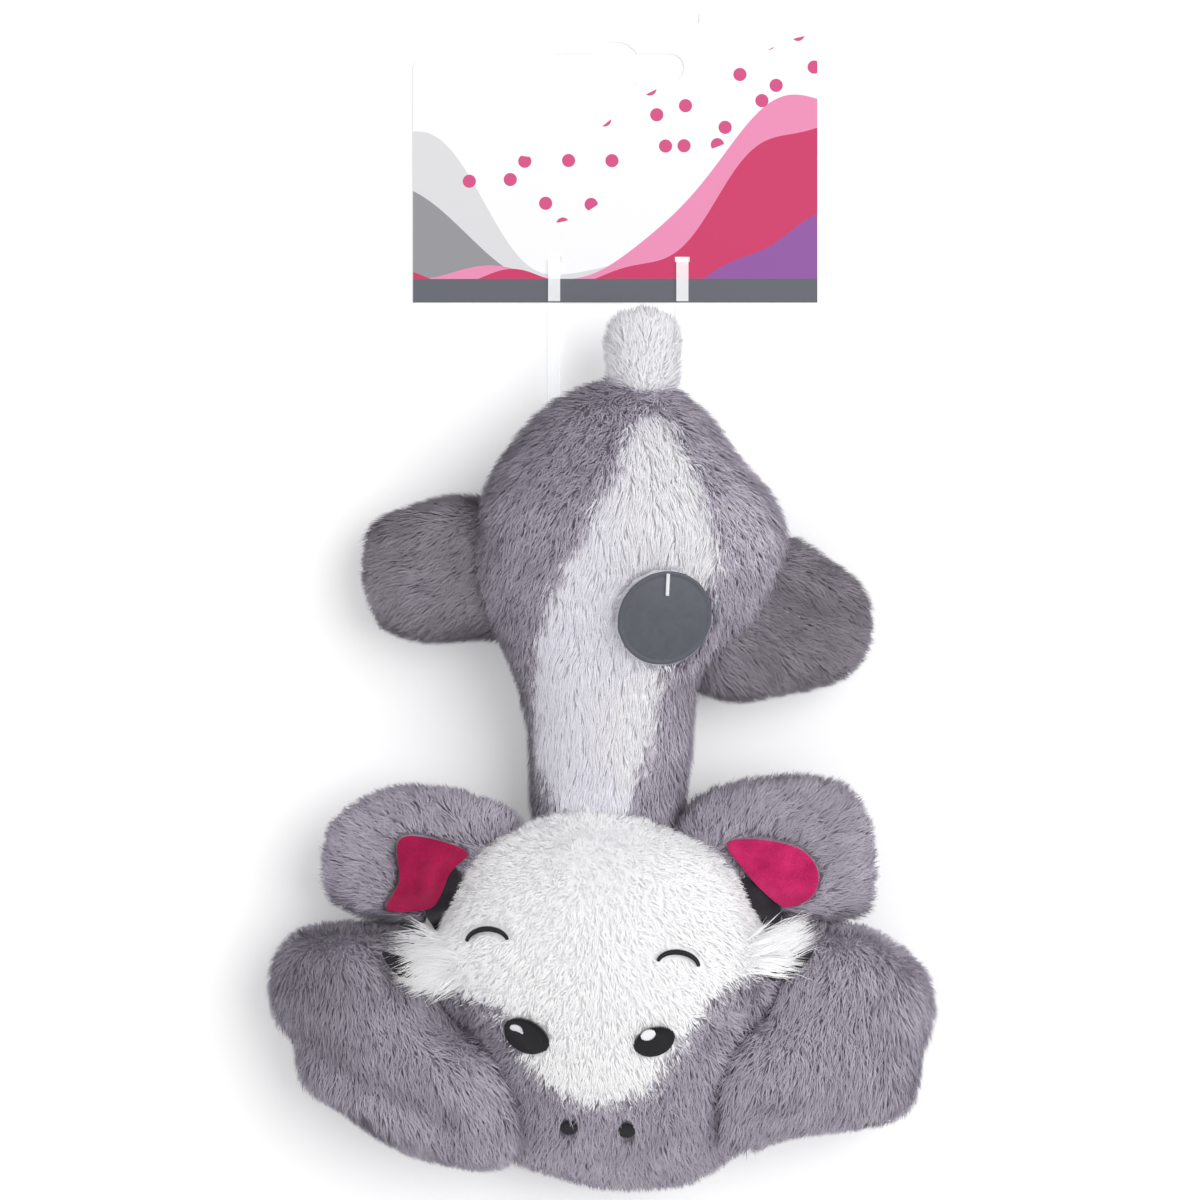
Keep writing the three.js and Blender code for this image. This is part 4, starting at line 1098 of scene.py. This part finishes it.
# One fibre: a three-sided spindle, one unit long, that bends over towards +X. It is slim that way,
# because its reach stretches it there.
slimness, bend = 0.07, 1.7
spike = add_node(tree, "GeometryNodeMeshUVSphere", {"Segments": 3, "Rings": 2, "Radius": 0.5})
place = add_node(tree, "GeometryNodeInputPosition").outputs[0]
spike_axes = add_node(tree, "ShaderNodeSeparateXYZ", {0: place})
height = add_node(tree, "ShaderNodeMath", {0: spike_axes.outputs[2], 1: 0.5}, operation="ADD",
                  use_clamp=True)
bent = add_node(tree, "ShaderNodeMath", {0: height.outputs[0], 1: bend}, operation="POWER")
flat_x = add_node(tree, "ShaderNodeMath", {0: spike_axes.outputs[0], 1: slimness, 2: bent.outputs[0]},
                  operation="MULTIPLY_ADD")
bent_place = add_node(tree, "ShaderNodeCombineXYZ",
                      {0: flat_x.outputs[0], 1: spike_axes.outputs[1], 2: height.outputs[0]})
fibre_form = add_node(tree, "GeometryNodeSetPosition",
                      {"Geometry": spike.outputs[0], "Position": bent_place.outputs[0]})
place = add_node(tree, "GeometryNodeInputPosition").outputs[0]
bent_height = add_node(tree, "ShaderNodeSeparateXYZ", {0: place})
fibre_form = add_node(tree, "GeometryNodeStoreNamedAttribute",
                      {"Geometry": fibre_form.outputs[0], "Name": "height",
                       "Value": bent_height.outputs[2]},
                      data_type="FLOAT", domain="POINT")
# Roots all over the backing, fewer on its underside
way = add_node(tree, "GeometryNodeInputNormal").outputs[0]
facing = add_node(tree, "ShaderNodeSeparateXYZ", {0: way})
thinned = add_node(tree, "ShaderNodeMapRange",
                   {"Value": facing.outputs[2], "From Min": -0.75, "From Max": -0.35,
                    "To Min": 0.35, "To Max": 1.0})
density = add_node(tree, "ShaderNodeMath", {0: given["Density"], 1: thinned.outputs[0]},
                   operation="MULTIPLY")
roots = add_node(tree, "GeometryNodeDistributePointsOnFaces",
                 {"Mesh": given["Geometry"], "Density": density.outputs[0], "Seed": given["Seed"]})
normal = roots.outputs["Normal"]
spot = add_node(tree, "GeometryNodeInputPosition").outputs[0]
# Each lies the way that its limb is combed, spreads from the limb's centre, and drifts in slow waves
away = add_node(tree, "ShaderNodeVectorMath", {0: spot, 1: given["Centre"]}, operation="SUBTRACT")
away = add_node(tree, "ShaderNodeVectorMath", {0: away.outputs[0], "Scale": given["Spread"]},
                operation="SCALE")
drift = add_node(tree, "ShaderNodeTexNoise", {"Vector": spot, "Scale": 1 / (9 * mm), "Detail": 2})
drift = add_node(tree, "ShaderNodeVectorMath", {0: drift.outputs["Color"], 1: (0.5, 0.5, 0.5)},
                 operation="SUBTRACT")
drift = add_node(tree, "ShaderNodeVectorMath", {0: drift.outputs[0], "Scale": given["Wave"]},
                 operation="SCALE")
lie = add_node(tree, "ShaderNodeVectorMath", {0: given["Comb"], 1: away.outputs[0]}, operation="ADD")
lie = add_node(tree, "ShaderNodeVectorMath", {0: lie.outputs[0], 1: drift.outputs[0]}, operation="ADD")
lie = add_node(tree, "ShaderNodeVectorMath", {0: lie.outputs[0]}, operation="NORMALIZE")
stray = add_node(tree, "FunctionNodeRandomValue", {0: (-1, -1, -1), 1: (1, 1, 1), "Seed": 2},
                 data_type="FLOAT_VECTOR")
stray = add_node(tree, "ShaderNodeVectorMath", {0: stray.outputs[0], "Scale": given["Stray"]},
                 operation="SCALE")
lie = add_node(tree, "ShaderNodeVectorMath", {0: lie.outputs[0], 1: stray.outputs[0]}, operation="ADD")
reach_share = add_node(tree, "FunctionNodeRandomValue", {2: 0.6, 3: 1.25, "Seed": 3}, data_type="FLOAT")
reach_now = add_node(tree, "ShaderNodeMath", {0: given["Reach"], 1: reach_share.outputs[1]},
                     operation="MULTIPLY")
lie = add_node(tree, "ShaderNodeVectorMath", {0: lie.outputs[0], "Scale": reach_now.outputs[0]},
               operation="SCALE")
# Neighbours are pulled together into a tuft, and what is left along the backing is the lean
tuft_scale = add_node(tree, "ShaderNodeMath", {0: 1.0, 1: given["Tuft"]}, operation="DIVIDE")
tufts = add_node(tree, "ShaderNodeTexVoronoi", {"Vector": spot, "Scale": tuft_scale.outputs[0]})
pull = add_node(tree, "ShaderNodeVectorMath", {0: tufts.outputs["Position"], 1: spot},
                operation="SUBTRACT")
pull = add_node(tree, "ShaderNodeVectorMath", {0: pull.outputs[0], "Scale": given["Gather"]},
                operation="SCALE")
lean = add_node(tree, "ShaderNodeVectorMath", {0: lie.outputs[0], 1: pull.outputs[0]}, operation="ADD")
off = add_node(tree, "ShaderNodeVectorMath", {0: lean.outputs[0], 1: normal}, operation="DOT_PRODUCT")
off = add_node(tree, "ShaderNodeVectorMath", {0: normal, "Scale": off.outputs["Value"]}, operation="SCALE")
lean = add_node(tree, "ShaderNodeVectorMath", {0: lean.outputs[0], 1: off.outputs[0]},
                operation="SUBTRACT")
lean_length = add_node(tree, "ShaderNodeVectorMath", {0: lean.outputs[0]}, operation="LENGTH")
rise_share = add_node(tree, "FunctionNodeRandomValue", {2: 0.7, 3: 1.7, "Seed": 4}, data_type="FLOAT")
rise_now = add_node(tree, "ShaderNodeMath", {0: given["Rise"], 1: rise_share.outputs[1]},
                    operation="MULTIPLY")
stand = add_node(tree, "ShaderNodeVectorMath", {0: normal, "Scale": rise_now.outputs[0]},
                 operation="SCALE")
fibre = add_node(tree, "ShaderNodeVectorMath", {0: stand.outputs[0], 1: lean.outputs[0]},
                 operation="ADD")
fibre_length = add_node(tree, "ShaderNodeVectorMath", {0: fibre.outputs[0]}, operation="LENGTH")
# A fibre ends where it meets a neighbouring limb's backing, or just above the floor
others = add_node(tree, "GeometryNodeObjectInfo", {"Object": given["Neighbours"]})
met = add_node(tree, "GeometryNodeRaycast",
               {"Target Geometry": others.outputs["Geometry"], "Source Position": spot,
                "Ray Direction": fibre.outputs[0], "Ray Length": fibre_length.outputs["Value"]})
met_share = add_node(tree, "ShaderNodeMath",
                     {0: met.outputs["Hit Distance"], 1: fibre_length.outputs["Value"]},
                     operation="DIVIDE")
met_share = add_node(tree, "GeometryNodeSwitch",
                     {0: met.outputs["Is Hit"], 1: 1.0, 2: met_share.outputs[0]}, input_type="FLOAT")
root_z = add_node(tree, "ShaderNodeSeparateXYZ", {0: spot})
fibre_z = add_node(tree, "ShaderNodeSeparateXYZ", {0: fibre.outputs[0]})
fall = add_node(tree, "ShaderNodeMath", {0: fibre_z.outputs[2], 1: -1e-5}, operation="MINIMUM")
floor_gap = 0.3 * mm
room = add_node(tree, "ShaderNodeMath", {0: floor_gap, 1: root_z.outputs[2]}, operation="SUBTRACT")
floor_share = add_node(tree, "ShaderNodeMath", {0: room.outputs[0], 1: fall.outputs[0]},
                       operation="DIVIDE", use_clamp=True)
share = add_node(tree, "ShaderNodeMath", {0: met_share.outputs[0], 1: floor_share.outputs[0]},
                 operation="MINIMUM")
# No fibre grows under a trim, and few lie over one: its root, middle and tip are looked at from
# above, with the chance that one found over a trim is left out
cover = add_node(tree, "GeometryNodeObjectInfo", {"Object": given["Trims"]})
barred = None
for seed, part, chance in ((5, 0.0, 1.0), (8, 0.5, 0.95), (9, 1.0, 0.85)):
    along = add_node(tree, "ShaderNodeVectorMath", {0: fibre.outputs[0], "Scale": part}, operation="SCALE")
    looked = add_node(tree, "ShaderNodeVectorMath", {0: spot, 1: along.outputs[0]}, operation="ADD")
    looked = add_node(tree, "ShaderNodeVectorMath", {0: looked.outputs[0], 1: (0, 0, 1)},
                      operation="ADD")
    hit = add_node(tree, "GeometryNodeRaycast",
                   {"Target Geometry": cover.outputs["Geometry"], "Source Position": looked.outputs[0],
                    "Ray Direction": (0, 0, -1), "Ray Length": 2.0})
    most = add_node(tree, "FunctionNodeRandomValue", {"Probability": chance, "Seed": seed},
                    data_type="BOOLEAN")
    hit = add_node(tree, "FunctionNodeBooleanMath", {0: hit.outputs["Is Hit"], 1: most.outputs[3]},
                   operation="AND")
    if barred is not None:
        hit = add_node(tree, "FunctionNodeBooleanMath", {0: barred.outputs[0], 1: hit.outputs[0]},
                       operation="OR")
    barred = hit
least_share = 0.12
long_enough = add_node(tree, "FunctionNodeCompare", {0: share.outputs[0], 1: least_share},
                       operation="GREATER_THAN")
picked = add_node(tree, "FunctionNodeBooleanMath", {0: long_enough.outputs[0], 1: barred.outputs[0]},
                  operation="NIMPLY")
# White and grey plush share a limb. The white ends up to 3.2 mm short of its outline, in a ragged
# line with fibres of both colours along it.
shortfall, stray_reach = 3.2 * mm, 2 * mm
edge = add_node(tree, "GeometryNodeInputNamedAttribute", {"Name": given["Region"]}, data_type="FLOAT")
ragged = add_node(tree, "ShaderNodeTexNoise", {"Vector": spot, "Scale": 1 / (2.5 * mm), "Detail": 3})
ragged = add_node(tree, "ShaderNodeMapRange",
                  {"Value": ragged.outputs[0], "From Min": 0.3, "From Max": 0.7,
                   "To Min": -shortfall, "To Max": 0.2 * mm})
edge = add_node(tree, "ShaderNodeMath", {0: edge.outputs[0], 1: ragged.outputs[0]}, operation="ADD")
strays = add_node(tree, "FunctionNodeRandomValue", {2: -stray_reach, 3: stray_reach, "Seed": 10},
                  data_type="FLOAT")
edge = add_node(tree, "ShaderNodeMath", {0: edge.outputs[0], 1: strays.outputs[1]}, operation="ADD")
edge = add_node(tree, "ShaderNodeMath", {0: edge.outputs[0], 1: given["Side"]}, operation="MULTIPLY")
own = add_node(tree, "FunctionNodeCompare", {0: edge.outputs[0], 1: -1e-9}, operation="GREATER_THAN")
picked = add_node(tree, "FunctionNodeBooleanMath", {0: picked.outputs[0], 1: own.outputs[0]},
                  operation="AND")
# The upper panel's fibres stand above the seam, and the lower one's under it
over_seam = add_node(tree, "ShaderNodeMath", {0: root_z.outputs[2], 1: given["Seam"]},
                     operation="SUBTRACT")
over_seam = add_node(tree, "ShaderNodeMath", {0: over_seam.outputs[0], 1: given["Above"]},
                     operation="MULTIPLY")
own = add_node(tree, "FunctionNodeCompare", {0: over_seam.outputs[0], 1: 0.0}, operation="GREATER_THAN")
picked = add_node(tree, "FunctionNodeBooleanMath", {0: picked.outputs[0], 1: own.outputs[0]},
                  operation="AND")
# None grow where the backing is tucked into another limb
bare = add_node(tree, "GeometryNodeInputNamedAttribute", {"Name": "clear"}, data_type="FLOAT")
bare = add_node(tree, "ShaderNodeMath", {0: bare.outputs[0], 1: given["Buried"]}, operation="ADD")
own = add_node(tree, "FunctionNodeCompare", {0: bare.outputs[0], 1: 0.0}, operation="GREATER_THAN")
picked = add_node(tree, "FunctionNodeBooleanMath", {0: picked.outputs[0], 1: own.outputs[0]},
                  operation="AND")
# The fibres are planted, each with a tone that it partly shares with its tuft
upright = add_node(tree, "FunctionNodeAlignRotationToVector", {"Vector": normal}, axis="Z")
turned = add_node(tree, "FunctionNodeAlignRotationToVector",
                  {"Rotation": upright.outputs[0], "Vector": lean.outputs[0]}, axis="X", pivot_axis="Z")
thick = add_node(tree, "FunctionNodeRandomValue", {2: 0.7, 3: 1.3, "Seed": 6}, data_type="FLOAT")
thick = add_node(tree, "ShaderNodeMath", {0: given["Fibre"], 1: thick.outputs[1]}, operation="MULTIPLY")
reach_end = add_node(tree, "ShaderNodeMath", {0: lean_length.outputs["Value"], 1: share.outputs[0]},
                     operation="MULTIPLY")
rise_end = add_node(tree, "ShaderNodeMath", {0: rise_now.outputs[0], 1: share.outputs[0]},
                    operation="MULTIPLY")
fibre_size = add_node(tree, "ShaderNodeCombineXYZ",
                      {0: reach_end.outputs[0], 1: thick.outputs[0], 2: rise_end.outputs[0]})
tuft_tone = add_node(tree, "ShaderNodeSeparateXYZ", {0: tufts.outputs["Color"]})
own_tone = add_node(tree, "FunctionNodeRandomValue", {2: 0.0, 3: 1.0, "Seed": 7}, data_type="FLOAT")
tone = add_node(tree, "ShaderNodeMix", {0: 0.5, 2: tuft_tone.outputs[0], 3: own_tone.outputs[1]},
                data_type="FLOAT")
toned = add_node(tree, "GeometryNodeStoreNamedAttribute",
                 {"Geometry": roots.outputs["Points"], "Name": "tone", "Value": tone.outputs[0]},
                 data_type="FLOAT", domain="POINT")
toned = add_node(tree, "GeometryNodeStoreNamedAttribute",
                 {"Geometry": toned.outputs[0], "Name": "skin", "Value": normal}, data_type="FLOAT_VECTOR",
                 domain="POINT")
planted = add_node(tree, "GeometryNodeInstanceOnPoints",
                   {"Points": toned.outputs[0], "Selection": picked.outputs[0],
                    "Instance": fibre_form.outputs[0], "Rotation": turned.outputs[0],
                    "Scale": fibre_size.outputs[0]})
real = add_node(tree, "GeometryNodeRealizeInstances", {0: planted.outputs[0]})
# Real fibres are so fine that the pile takes light as one soft surface, so each is shaded mostly
# like the backing that it stands on
skin_share = 0.8
rounded = add_node(tree, "GeometryNodeSetShadeSmooth", {"Geometry": real.outputs[0]})
skin = add_node(tree, "GeometryNodeInputNamedAttribute", {"Name": "skin"}, data_type="FLOAT_VECTOR")
way = add_node(tree, "GeometryNodeInputNormal").outputs[0]
soft = add_node(tree, "ShaderNodeMix", {0: skin_share, 4: way, 5: skin.outputs[0]},
                data_type="VECTOR")
soft = add_node(tree, "ShaderNodeVectorMath", {0: soft.outputs[1]}, operation="NORMALIZE")
softened = add_node(tree, "GeometryNodeSetMeshNormal",
                    {0: rounded.outputs[0], "Custom Normal": soft.outputs[0]},
                    mode="FREE", domain="POINT")
coloured = add_node(tree, "GeometryNodeSetMaterial",
                    {"Geometry": softened.outputs[0], "Material": given["Material"]})
add_node(tree, "NodeGroupOutput", {0: coloured.outputs[0]})

# Polyester pile is matt, with painted shade: each fibre is darker towards its root, where shade falls
# between the fibres, and lighter at its tip
piles = {}
for name, painted_root_shade, low, high, painted_glow in (("grey", "#a8a2ae", "#c8c1d0", "#e8e1ef", 0.0),
                                         ("dusky", "#918b96", "#aea7b3", "#ccc4d0", 0.0),
                                         ("white", "#fcfcfe", "#ffffff", "#ffffff", 0.38),
                                         ("pale", "#f4f2fb", "#f7f5fe", "#fbfaff", 0.25)):
    pile, tree = new_material(f"polyester_pile_{name}")
    height = add_node(tree, "ShaderNodeAttribute", attribute_name="height").outputs["Fac"]
    tone = add_node(tree, "ShaderNodeAttribute", attribute_name="tone").outputs["Fac"]
    place = add_node(tree, "ShaderNodeTexCoord").outputs["Object"]
    clouds = add_node(tree, "ShaderNodeTexNoise", {"Vector": place, "Scale": 1 / (9 * mm), "Detail": 2})
    blend = add_node(tree, "ShaderNodeMath", {0: clouds.outputs[0], 1: tone}, operation="ADD")
    blend = add_node(tree, "ShaderNodeMapRange",
                     {"Value": blend.outputs[0], "From Min": 0.5, "From Max": 1.4})
    tips = add_node(tree, "ShaderNodeMix", {"Factor": blend.outputs[0], 6: paint(low), 7: paint(high)},
                    data_type="RGBA")
    up = add_node(tree, "ShaderNodeMapRange", {"Value": height, "From Min": 0.05, "From Max": 0.75})
    shade = add_node(tree, "ShaderNodeMix", {"Factor": up.outputs[0], 6: paint(painted_root_shade), 7: tips.outputs[2]},
                     data_type="RGBA")
    # The pile's colour is scaled by the painted light and shade stored at its roots
    nap = add_node(tree, "ShaderNodeAttribute", attribute_name="nap").outputs["Fac"]
    nap = add_node(tree, "ShaderNodeMath", {0: nap, 1: 1.0}, operation="ADD")
    shade = add_node(tree, "ShaderNodeMix", {"Factor": 1.0, 6: shade.outputs[2], 7: nap.outputs[0]},
                     data_type="RGBA", blend_type="MULTIPLY", clamp_result=True)
    # The palest piles glow faintly: painted light, an emission for the light that a pile gives back
    # after many turns between its fibres
    body = add_node(tree, "ShaderNodeBsdfPrincipled",
                    {"Base Color": shade.outputs[2], "Roughness": 0.85, "Specular IOR Level": 0.15,
                     "Sheen Weight": 0.5, "Sheen Roughness": 0.45, "Sheen Tint": paint("#e6e2ee"),
                     "Emission Color": paint(low), "Emission Strength": painted_glow})
    through = add_node(tree, "ShaderNodeBsdfTranslucent", {"Color": shade.outputs[2]})
    both = add_node(tree, "ShaderNodeMixShader", {0: 0.3, 1: body.outputs[0], 2: through.outputs[0]})
    add_node(tree, "ShaderNodeOutputMaterial", {"Surface": both.outputs[0]})
    piles[name] = pile


def joined(name, objects):
    """One mesh of several objects, for the pile to be measured against."""
    form = bmesh.new()
    for obj in objects:
        form.from_mesh(obj.data)
    mesh = bpy.data.meshes.new(name)
    form.to_mesh(mesh)
    form.free()
    return new_object(name, mesh)


def mark_region(mesh, name, outline, seam=0):
    """How far each point above the seam is inside an outline seen from above, and less than 0 outside."""
    above_seam = points_of(mesh)[:, 2] > seam
    points = points_of(mesh)[:, :2]
    ring = np.array(outline) * mm
    near = np.full(len(points), 1e9)
    inside = np.zeros(len(points), bool)
    for a, b in zip(ring, np.roll(ring, -1, axis=0)):
        along = np.clip(((points - a) @ (b - a)) / ((b - a) @ (b - a)), 0, 1)
        near = np.minimum(near, np.linalg.norm(points - (a + along[:, None] * (b - a)), axis=1))
        crosses = (a[1] > points[:, 1]) != (b[1] > points[:, 1])
        run = a[0] + (points[:, 1] - a[1]) / (b[1] - a[1] + 1e-12) * (b[0] - a[0])
        inside ^= crosses & (points[:, 0] < run)
    share = mesh.attributes.new(name, "FLOAT", "POINT")
    share.data.foreach_set("value", np.where(inside & above_seam, near, -near))


def mark_clear(mesh, others):
    """How far each point is from the other limbs' backings, in metres, and less than 0 inside them."""
    values = []
    for vert in mesh.vertices:
        near, way, _, gap = others.find_nearest(vert.co)
        values.append(gap if (vert.co - near).dot(way) > 0 else -gap)
    mesh.attributes.new("clear", "FLOAT", "POINT").data.foreach_set("value", values)


# The white plush on the back and the face, seen from above in millimetres
stripe_outline = [(8, 43), (12.5, 43.5), (17, 40), (22.5, 30), (26.5, 18), (29.5, 8), (25, 0),
                  (17.5, -12), (15.5, -22), (13, -34), (9.5, -46), (7, -52), (-9, -52), (-13, -44),
                  (-17, -34), (-17, -20), (-15.5, -8), (-12.5, 2), (-8.5, 10), (-3, 19), (1.5, 29),
                  (5, 38)]
face_outline = [(-26, -50), (-11, -45), (9, -45), (18, -50), (30, -58), (38, -64), (39, -76), (49, -76),
                (50, -79), (40, -84), (26, -92), (21, -100), (16, -107), (13.5, -113), (4, -116),
                (-6, -116), (-12, -112), (-17, -106), (-20, -103), (-24, -94), (-36, -90), (-46, -84),
                (-49, -79), (-44, -75), (-39, -74), (-38, -64)]
left_cheek = [(-46, -77.5), (-34, -78), (-31, -80), (-31, -88), (-46, -90)]
right_cheek = [(46, -77.5), (34, -77.5), (31, -79), (31, -85), (46, -84.5)]
mark_region(bags["torso"].data, "white_share", stripe_outline, limbs["torso"][2])
mark_region(bags["head"].data, "white_share", face_outline, limbs["head"][2])
mark_region(bags["head"].data, "left_cheek", left_cheek)
mark_region(bags["head"].data, "right_cheek", right_cheek)

# Painted light and shade: where the pile is painted lighter towards the light or darker away from
# it: limb, place seen from above and radius in millimetres, and how much lighter or darker it looks
light_and_shade_spots = [("torso", (34, 22), 20, 0.3), ("torso", (16, -30), 12, 0.2), ("head", (0, -127), 14, 0.14),
        ("hind_leg_right", (50, -6), 22, -0.3), ("front_paw_left", (-60, -84), 16, -0.26),
        ("ear_right", (54, -51), 16, -0.16), ("ear_left", (-57, -55), 14, 0.14),
        ("tail", (9, 58), 30, 0.12)]
for limb, bag in bags.items():
    points = points_of(bag.data)
    nap = np.zeros(len(points))
    for painted_limb, spot, radius, shift in light_and_shade_spots:
        if painted_limb == limb:
            near = np.linalg.norm(points[:, :2] - np.array(spot) * mm, axis=1)
            nap += shift * np.exp(-(near / (radius * mm)) ** 2)
    bag.data.attributes.new("nap", "FLOAT", "POINT").data.foreach_set("value", nap)

# How each limb is brushed, and what differs from the usual pile
lies = {
    "torso": {"Comb": (-0.1, -1, 0.1), "Centre": (0.006, 0.02, 0.02), "Spread": 26.0},
    "head": {"Comb": (0, -0.9, 0), "Centre": (0, -0.1, 0.02), "Spread": 20.0},
    "tail": {"Comb": (0, 1, 0), "Centre": (0.0095, 0.05, 0.018), "Spread": 20.0, "Reach": 2.4 * mm,
             "Rise": 1.7 * mm, "Density": 8e6},
}
for side, way in (("left", -1), ("right", 1)):
    lies[f"ear_{side}"] = {"Comb": (way * 0.4, 0.3, 0), "Centre": (way * 0.035, -0.065, 0.015),
                           "Spread": 30.0, "Reach": 3.2 * mm, "Density": 9e6}
    lies[f"front_paw_{side}"] = {"Comb": (way * -0.3, -0.9, 0), "Centre": (way * 0.05, -0.09, 0.02),
                                 "Spread": 10.0}
    lies[f"hind_leg_{side}"] = {"Comb": (way * 0.8, -0.5, 0), "Centre": (way * 0.035, 0.0, 0.01),
                                "Spread": 10.0, "Density": 9e6}
stripe_lie = {"Comb": (-0.12, -1, 0.1), "Centre": (0.004, 0.01, 0.03), "Spread": 12.0, "Reach": 5 * mm,
              "Rise": 1.2 * mm, "Density": 5e6, "Stray": 0.12}
face_lie = {"Comb": (0, -0.3, 0.1), "Centre": (-0.001, -0.078, 0.03), "Spread": 30.0,
            "Reach": 3.4 * mm, "Rise": 1.1 * mm, "Density": 4.2e6, "Stray": 0.25, "Wave": 0.8}
# Panel, limb, colour, 1 above the seam or -1 below it, 1 inside the white outline or -1 outside it,
# and what differs from the limb's own pile
panels = [
    ("torso_back_panel", "torso", "grey", 1, -1, {}),
    ("back_stripe_panel", "torso", "pale", 1, 1, stripe_lie),
    ("torso_belly_panel", "torso", "grey", -1, 0, {}),
    ("head_face_panel", "head", "white", 1, 1, face_lie),
    ("muzzle_panel", "head", "grey", 1, -1, {}),
    ("head_under_panel", "head", "grey", -1, 0, {}),
    ("tail_upper_panel", "tail", "pale", 1, 0, {}),
    ("tail_lower_panel", "tail", "pale", -1, 0, {}),
    # Long white tufts at the cheeks, which hang out over the paws
    ("cheek_tuft_left", "head", "white", 1, 1,
     {"Region": "left_cheek", "Comb": (-0.3, -0.7, -0.1), "Reach": 6 * mm, "Rise": 6.5 * mm,
      "Stray": 0.25, "Density": 9e6, "Tuft": 7 * mm, "Gather": 0.7, "Wave": 0.6, "Seam": 27 * mm,
      "Buried": 6 * mm, "Neighbours": None}),
    ("cheek_tuft_right", "head", "white", 1, 1,
     {"Region": "right_cheek", "Comb": (0.3, -0.15, 0.1), "Reach": 4.5 * mm, "Rise": 7.5 * mm,
      "Stray": 0.25, "Density": 9e6, "Tuft": 7 * mm, "Gather": 0.8, "Wave": 0.6, "Seam": 27 * mm,
      "Buried": 6 * mm, "Neighbours": None}),
]
for side in ("left", "right"):
    for limb, upper, lower in (("ear", "front", "back"), ("front_paw", "upper", "lower"),
                               ("hind_leg", "upper", "lower")):
        # The hind legs take a darker copy of the grey pile: painted shade, as they lie low beside the
        # torso
        colour = "dusky" if limb == "hind_leg" else "grey"
        panels.append((f"{limb}_{side}_{upper}_panel", f"{limb}_{side}", colour, 1, 0, {}))
        panels.append((f"{limb}_{side}_{lower}_panel", f"{limb}_{side}", colour, -1, 0, {}))
usual = {"Density": 6.0e6, "Reach": 3.6 * mm, "Rise": 1.8 * mm, "Fibre": 0.32 * mm, "Wave": 2.0,
         "Tuft": 3.4 * mm, "Gather": 0.45}
for number, (panel, limb, colour, above, side, changes) in enumerate(panels):
    seam = limbs[limb][2]
    others = joined("others", [bag for other, bag in bags.items() if other != limb])
    if "clear" not in bags[limb].data.attributes:
        mark_clear(bags[limb].data, shell_tree([others.data]))
    cover = joined("cover", trims.get(limb, []))
    values = {**usual, "Side": float(side), "Seam": seam, "Above": float(above), "Seed": 11 + number,
              "Neighbours": others, "Trims": cover, "Material": piles[colour], **lies[limb], **changes}
    pile = grown(panel.replace("panel", "pile"), bags[limb].data.copy(), pile_tree, pile_inputs, values)
    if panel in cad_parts:
        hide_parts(panel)
    carried(pile, limb)
    for helper in (others, cover):
        bpy.data.objects.remove(helper)

# Short pile round the badge's patch closes the gap beside it, and goes down with it. It grows this
# far down the patch's wall.
patch_wall = 5.5 * mm
patch_lie = {"Rise": 0.9 * mm, "Reach": 1.8 * mm}
cover = joined("cover", [badge])
mark_region(patch_mesh, "white_share", stripe_outline)
level = (points_of(patch_mesh) - badge_middle) @ badge_normal
patch_mesh.attributes.new("clear", "FLOAT", "POINT").data.foreach_set("value", level + patch_wall)
for colour, side in (("pale", 1), ("grey", -1)):
    patch_pile = grown(f"press_patch_{colour}_pile", patch_mesh.copy(), pile_tree, pile_inputs,
                       {**usual, **patch_lie, "Side": float(side), "Seed": 7, "Trims": cover,
                        "Material": piles[colour]})
    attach(patch_pile, "press_button")
bpy.data.objects.remove(cover)

for clearing in brow_clearings:
    bpy.data.objects.remove(clearing)
